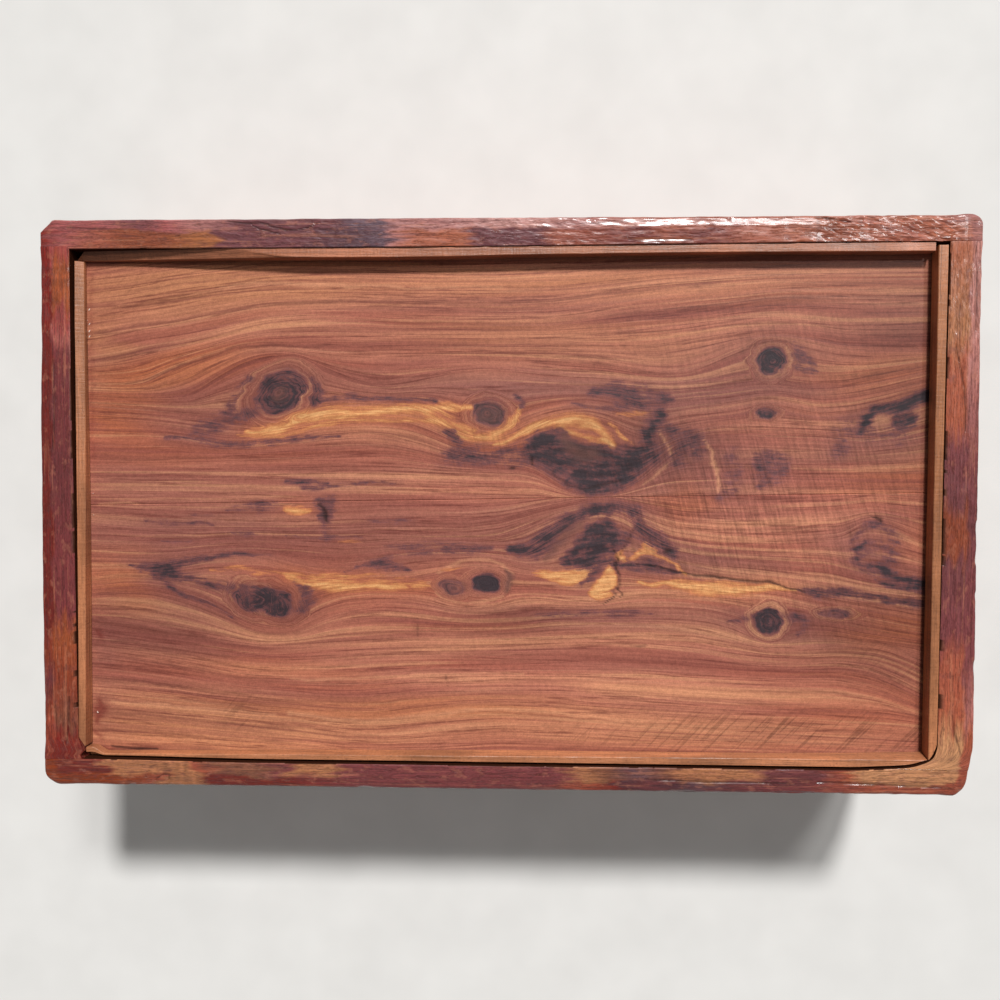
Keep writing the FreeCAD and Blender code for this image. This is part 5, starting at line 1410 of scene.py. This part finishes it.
def make_strip(node, body, finish, axis, corners_at, seed, trim=0.0, slant=(0.0, 0.0)):
    """A strip swept along its length. corners_at gives its corners, across and up, at each place.

    The slant moves its first end along: by so much at the rim, and at the side away from the rim.
    """
    low, high = node_box(node)
    along = np.linspace(low[axis] + trim, high[axis], int((high[axis] - low[axis]) / STRIP_STATION))
    corners = [np.stack(np.broadcast_arrays(v, z, along)[:2], -1) for v, z in corners_at(along)]
    ring = []
    for before, corner, after in zip(corners[-1:] + corners[:-1], corners, corners[1:] + corners[:1]):
        for other in (before, after):
            way = other - corner
            length = np.maximum(np.linalg.norm(way, axis=-1, keepdims=True), 1e-6)
            ring.append(corner + way / length * np.minimum(STRIP_EASE, 0.35 * length))
    section = np.stack(ring, 1)
    u = np.repeat(along[:, None], section.shape[1], 1)
    turn = np.arange(section.shape[1])[None] * 1.7
    middle = section.mean(1, keepdims=True)
    across = section[..., 0]
    far = (np.abs(across) - np.abs(across).min()) / np.ptp(np.abs(across))
    at_first_end = 1 - smooth(u, low[axis], low[axis] + SLANT_REACH)
    u = u + (slant[0] * far + slant[1] * (1 - far)) * at_first_end
    wear = 0.5 + ripples(u, turn, STRIP_RIPPLES, seed)
    inward = middle - section
    inward /= np.linalg.norm(inward, axis=-1, keepdims=True)
    section = section + inward * (STRIP_WEAR * np.clip(wear, 0, 1))[..., None]
    v, z = section[..., 0], section[..., 1]
    x, y = (u, v) if axis == 0 else (v, u)
    points = np.stack([x, y, z], -1).reshape(-1, 3)
    return new_piece("sawn_" + node, points, swept_faces(len(along), section.shape[1]), body, node,
                     None, (finish,))


STRIP_BASE = node_box("slot_end_strip")[0][2]
STRIP_TOP = node_box("slot_end_strip")[1][2]
JOINT_GAP = 1.0
JOINT_DEPTH = 3.4


def back_strip_corners(x):
    """A square strip that is planed to a long bevel towards the closed end."""
    inner = np.interp(x, (-40, -17, 7, 79), (101.05, 101.25, 101.7, 102.3))
    low_x = node_box("back_lip_strip")[0][0]
    edge_y = INNER_Y - 0.3 - (INNER_Y - 0.3 - inner) * smooth(x, -120, -82)
    edge_z = np.interp(x, (low_x, -78), (STRIP_BASE + 0.9, STRIP_TOP - 0.15))
    upper = np.interp(x, (low_x, -118), (STRIP_TOP - 3.2, STRIP_TOP))
    return ((INNER_Y, STRIP_BASE), (INNER_Y, upper), (edge_y, upper), (inner, edge_z),
            (inner, STRIP_BASE))


def front_strip_corners(x):
    """It grows wider and taller to the slot end, with an open joint beside the front wall."""
    low, high = node_box("front_lip_strip")
    top = np.interp(x, (low[0], high[0]), (STRIP_BASE + 4.2, STRIP_TOP))
    at_foot = 1 - smooth(x, -171.5, -166)
    inner = np.interp(x, (-160, -80, 0, 80, 172), (-103.9, -103.4, -103.0, -102.5, -102.3))
    inner = inner + 2.6 * at_foot
    foot = np.interp(x, (-160, -80, 0, 80, 123, 156, 168),
                     (-103.8, -102.7, -101.9, -101.9, -101.7, -101, -100.6))
    foot = foot + 2.5 * at_foot
    gap = JOINT_GAP + 1.3 * at_foot
    edge = front_inner_face(x) + cove_edge(x)
    shelf = np.maximum(top - JOINT_DEPTH, STRIP_BASE + 0.3)
    return ((edge, STRIP_BASE), (edge, shelf), (edge + gap, shelf + 0.2), (edge + gap, top),
            (inner, top), (foot, STRIP_BASE + 0.4), (foot, STRIP_BASE))


def slot_strip_corners(y):
    """A stop beside the rail, with a joint between them that is open only towards the back."""
    outer = rail_inner_face(y)
    inner = np.interp(y, (-100, 84), (172.65, 173.5))
    open_joint = smooth(y, -60, 60)
    in_cove = 1 - smooth(y, -101, -95)
    edge = outer - 0.08 - 0.2 * open_joint - 0.6 * in_cove
    shelf = STRIP_TOP - 0.25 - 1.7 * open_joint - 1.6 * in_cove
    return ((inner, STRIP_BASE), (inner, STRIP_TOP), (edge, STRIP_TOP), (edge, shelf + 0.2),
            (outer, shelf), (outer, STRIP_BASE))


def batten_corners(y):
    """The grip on the lid: lower at the back, where its top falls towards the lid's middle."""
    low, high = node_box("lid_pull_batten")
    top = np.interp(y, (low[1], high[1]), (high[2], LID_TOP + 3.5))
    fall = smooth(y, -30, 70)
    inner = np.interp(y, (-100, -60, 0, 75), (-173.45, -173.3, -173.1, -173.8))
    outer = np.interp(y, (-60, 0, 75), (-176.45, -176.75, -177.25))
    outer = outer + np.clip(low[1] + 3.5 - y, 0, 3.5) * 0.7
    return ((outer, LID_TOP), (outer, top), (inner, top - 1.6 * fall), (inner, LID_TOP))


make_strip("back_lip_strip", "box", sawn_finish("sawn_strip_back", (182, 114, 82), 0, 0.3), 0,
           back_strip_corners, 80, 0.0, (1.4, -3.3))
make_strip("front_lip_strip", "box", sawn_finish("sawn_strip_front", (184, 118, 80), 0, 0.4), 0,
           front_strip_corners, 83, -1.2)
make_strip("slot_end_strip", "box", sawn_finish("sawn_strip_slot_end", (184, 118, 78), 1, 0.2), 1,
           slot_strip_corners, 86, 2.6)
make_strip("lid_pull_batten", "lid", sawn_finish("sawn_batten", (184, 118, 80), 1, 0.2), 1,
           batten_corners, 89)

PLAIN_PIECES = {
    "lid_runner": (sawn_finish("sawn_runner", (168, 104, 80), 0, 0.0), 0.4),
    "floor_board": (sawn_finish("planed_floor", (182, 118, 92), 0, 0.1), 0.3),
    "slot_end_wall": (sawn_finish("slot_end_cedar", (150, 84, 66), 1, 0.5), 0.5),
    "dowel": (dowel_finish(), 0.0),
    "rail_pin": (dowel_finish(), 0.0),
}
for node_name, node_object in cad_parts.items():
    for part_name, (finish, edge_ease) in PLAIN_PIECES.items():
        if part_name in node_name and not node_object.hide_render:
            node_object.data.materials.clear()
            node_object.data.materials.append(finish)
            if edge_ease:
                eased = node_object.modifiers.new("eased_edges", "BEVEL")
                eased.width = edge_ease * MM
                eased.segments = 2
                eased.limit_method = "ANGLE"

# The floor and the light

FLOOR_REACH = 4000.0
floor_mesh = bpy.data.meshes.new("floor")
corners = [(x * FLOOR_REACH * MM, y * FLOOR_REACH * MM, 0.0)
           for x, y in ((-1, -1), (1, -1), (1, 1), (-1, 1))]
floor_mesh.from_pydata(corners, [], [(0, 1, 2, 3)])
floor = bpy.data.objects.new("floor", floor_mesh)
bpy.context.scene.collection.objects.link(floor)
pale = Finish("pale_floor")
speckle = pale.noise(pale.x, 30, pale.y, 30)
floor_mesh.materials.append(pale.finish(
    pale.ramp(speckle, (0.3, rgb(226, 224, 220)), (0.7, rgb(232, 230, 226))), 0.7))

SKY_STRENGTH = 0.12
world = bpy.data.worlds.new("studio")
world.use_nodes = True
backdrop = world.node_tree.nodes["Background"]
backdrop.inputs["Color"].default_value = (1, 1, 1, 1)
backdrop.inputs["Strength"].default_value = SKY_STRENGTH
bpy.context.scene.world = world

# The suns: which way each shines, how strongly, and how many degrees wide it is
SUNS = {
    "key": ((-0.15, -0.66, -0.736), 2.75, 7.0), "glint": ((-0.31, -0.62, -0.72), 0.75, 8.0),
    "sparkle": ((-0.42, -0.32, -0.85), 0.35, 4.0),
}
for sun_name, (direction, strength, degrees_wide) in SUNS.items():
    light = bpy.data.lights.new(sun_name, "SUN")
    light.energy = strength
    light.angle = math.radians(degrees_wide)
    lamp = bpy.data.objects.new(sun_name, light)
    lamp.rotation_mode = "QUATERNION"
    lamp.rotation_quaternion = Vector(direction).to_track_quat("-Z", "Y")
    bpy.context.scene.collection.objects.link(lamp)

bpy.context.scene.view_settings.view_transform = "Standard"
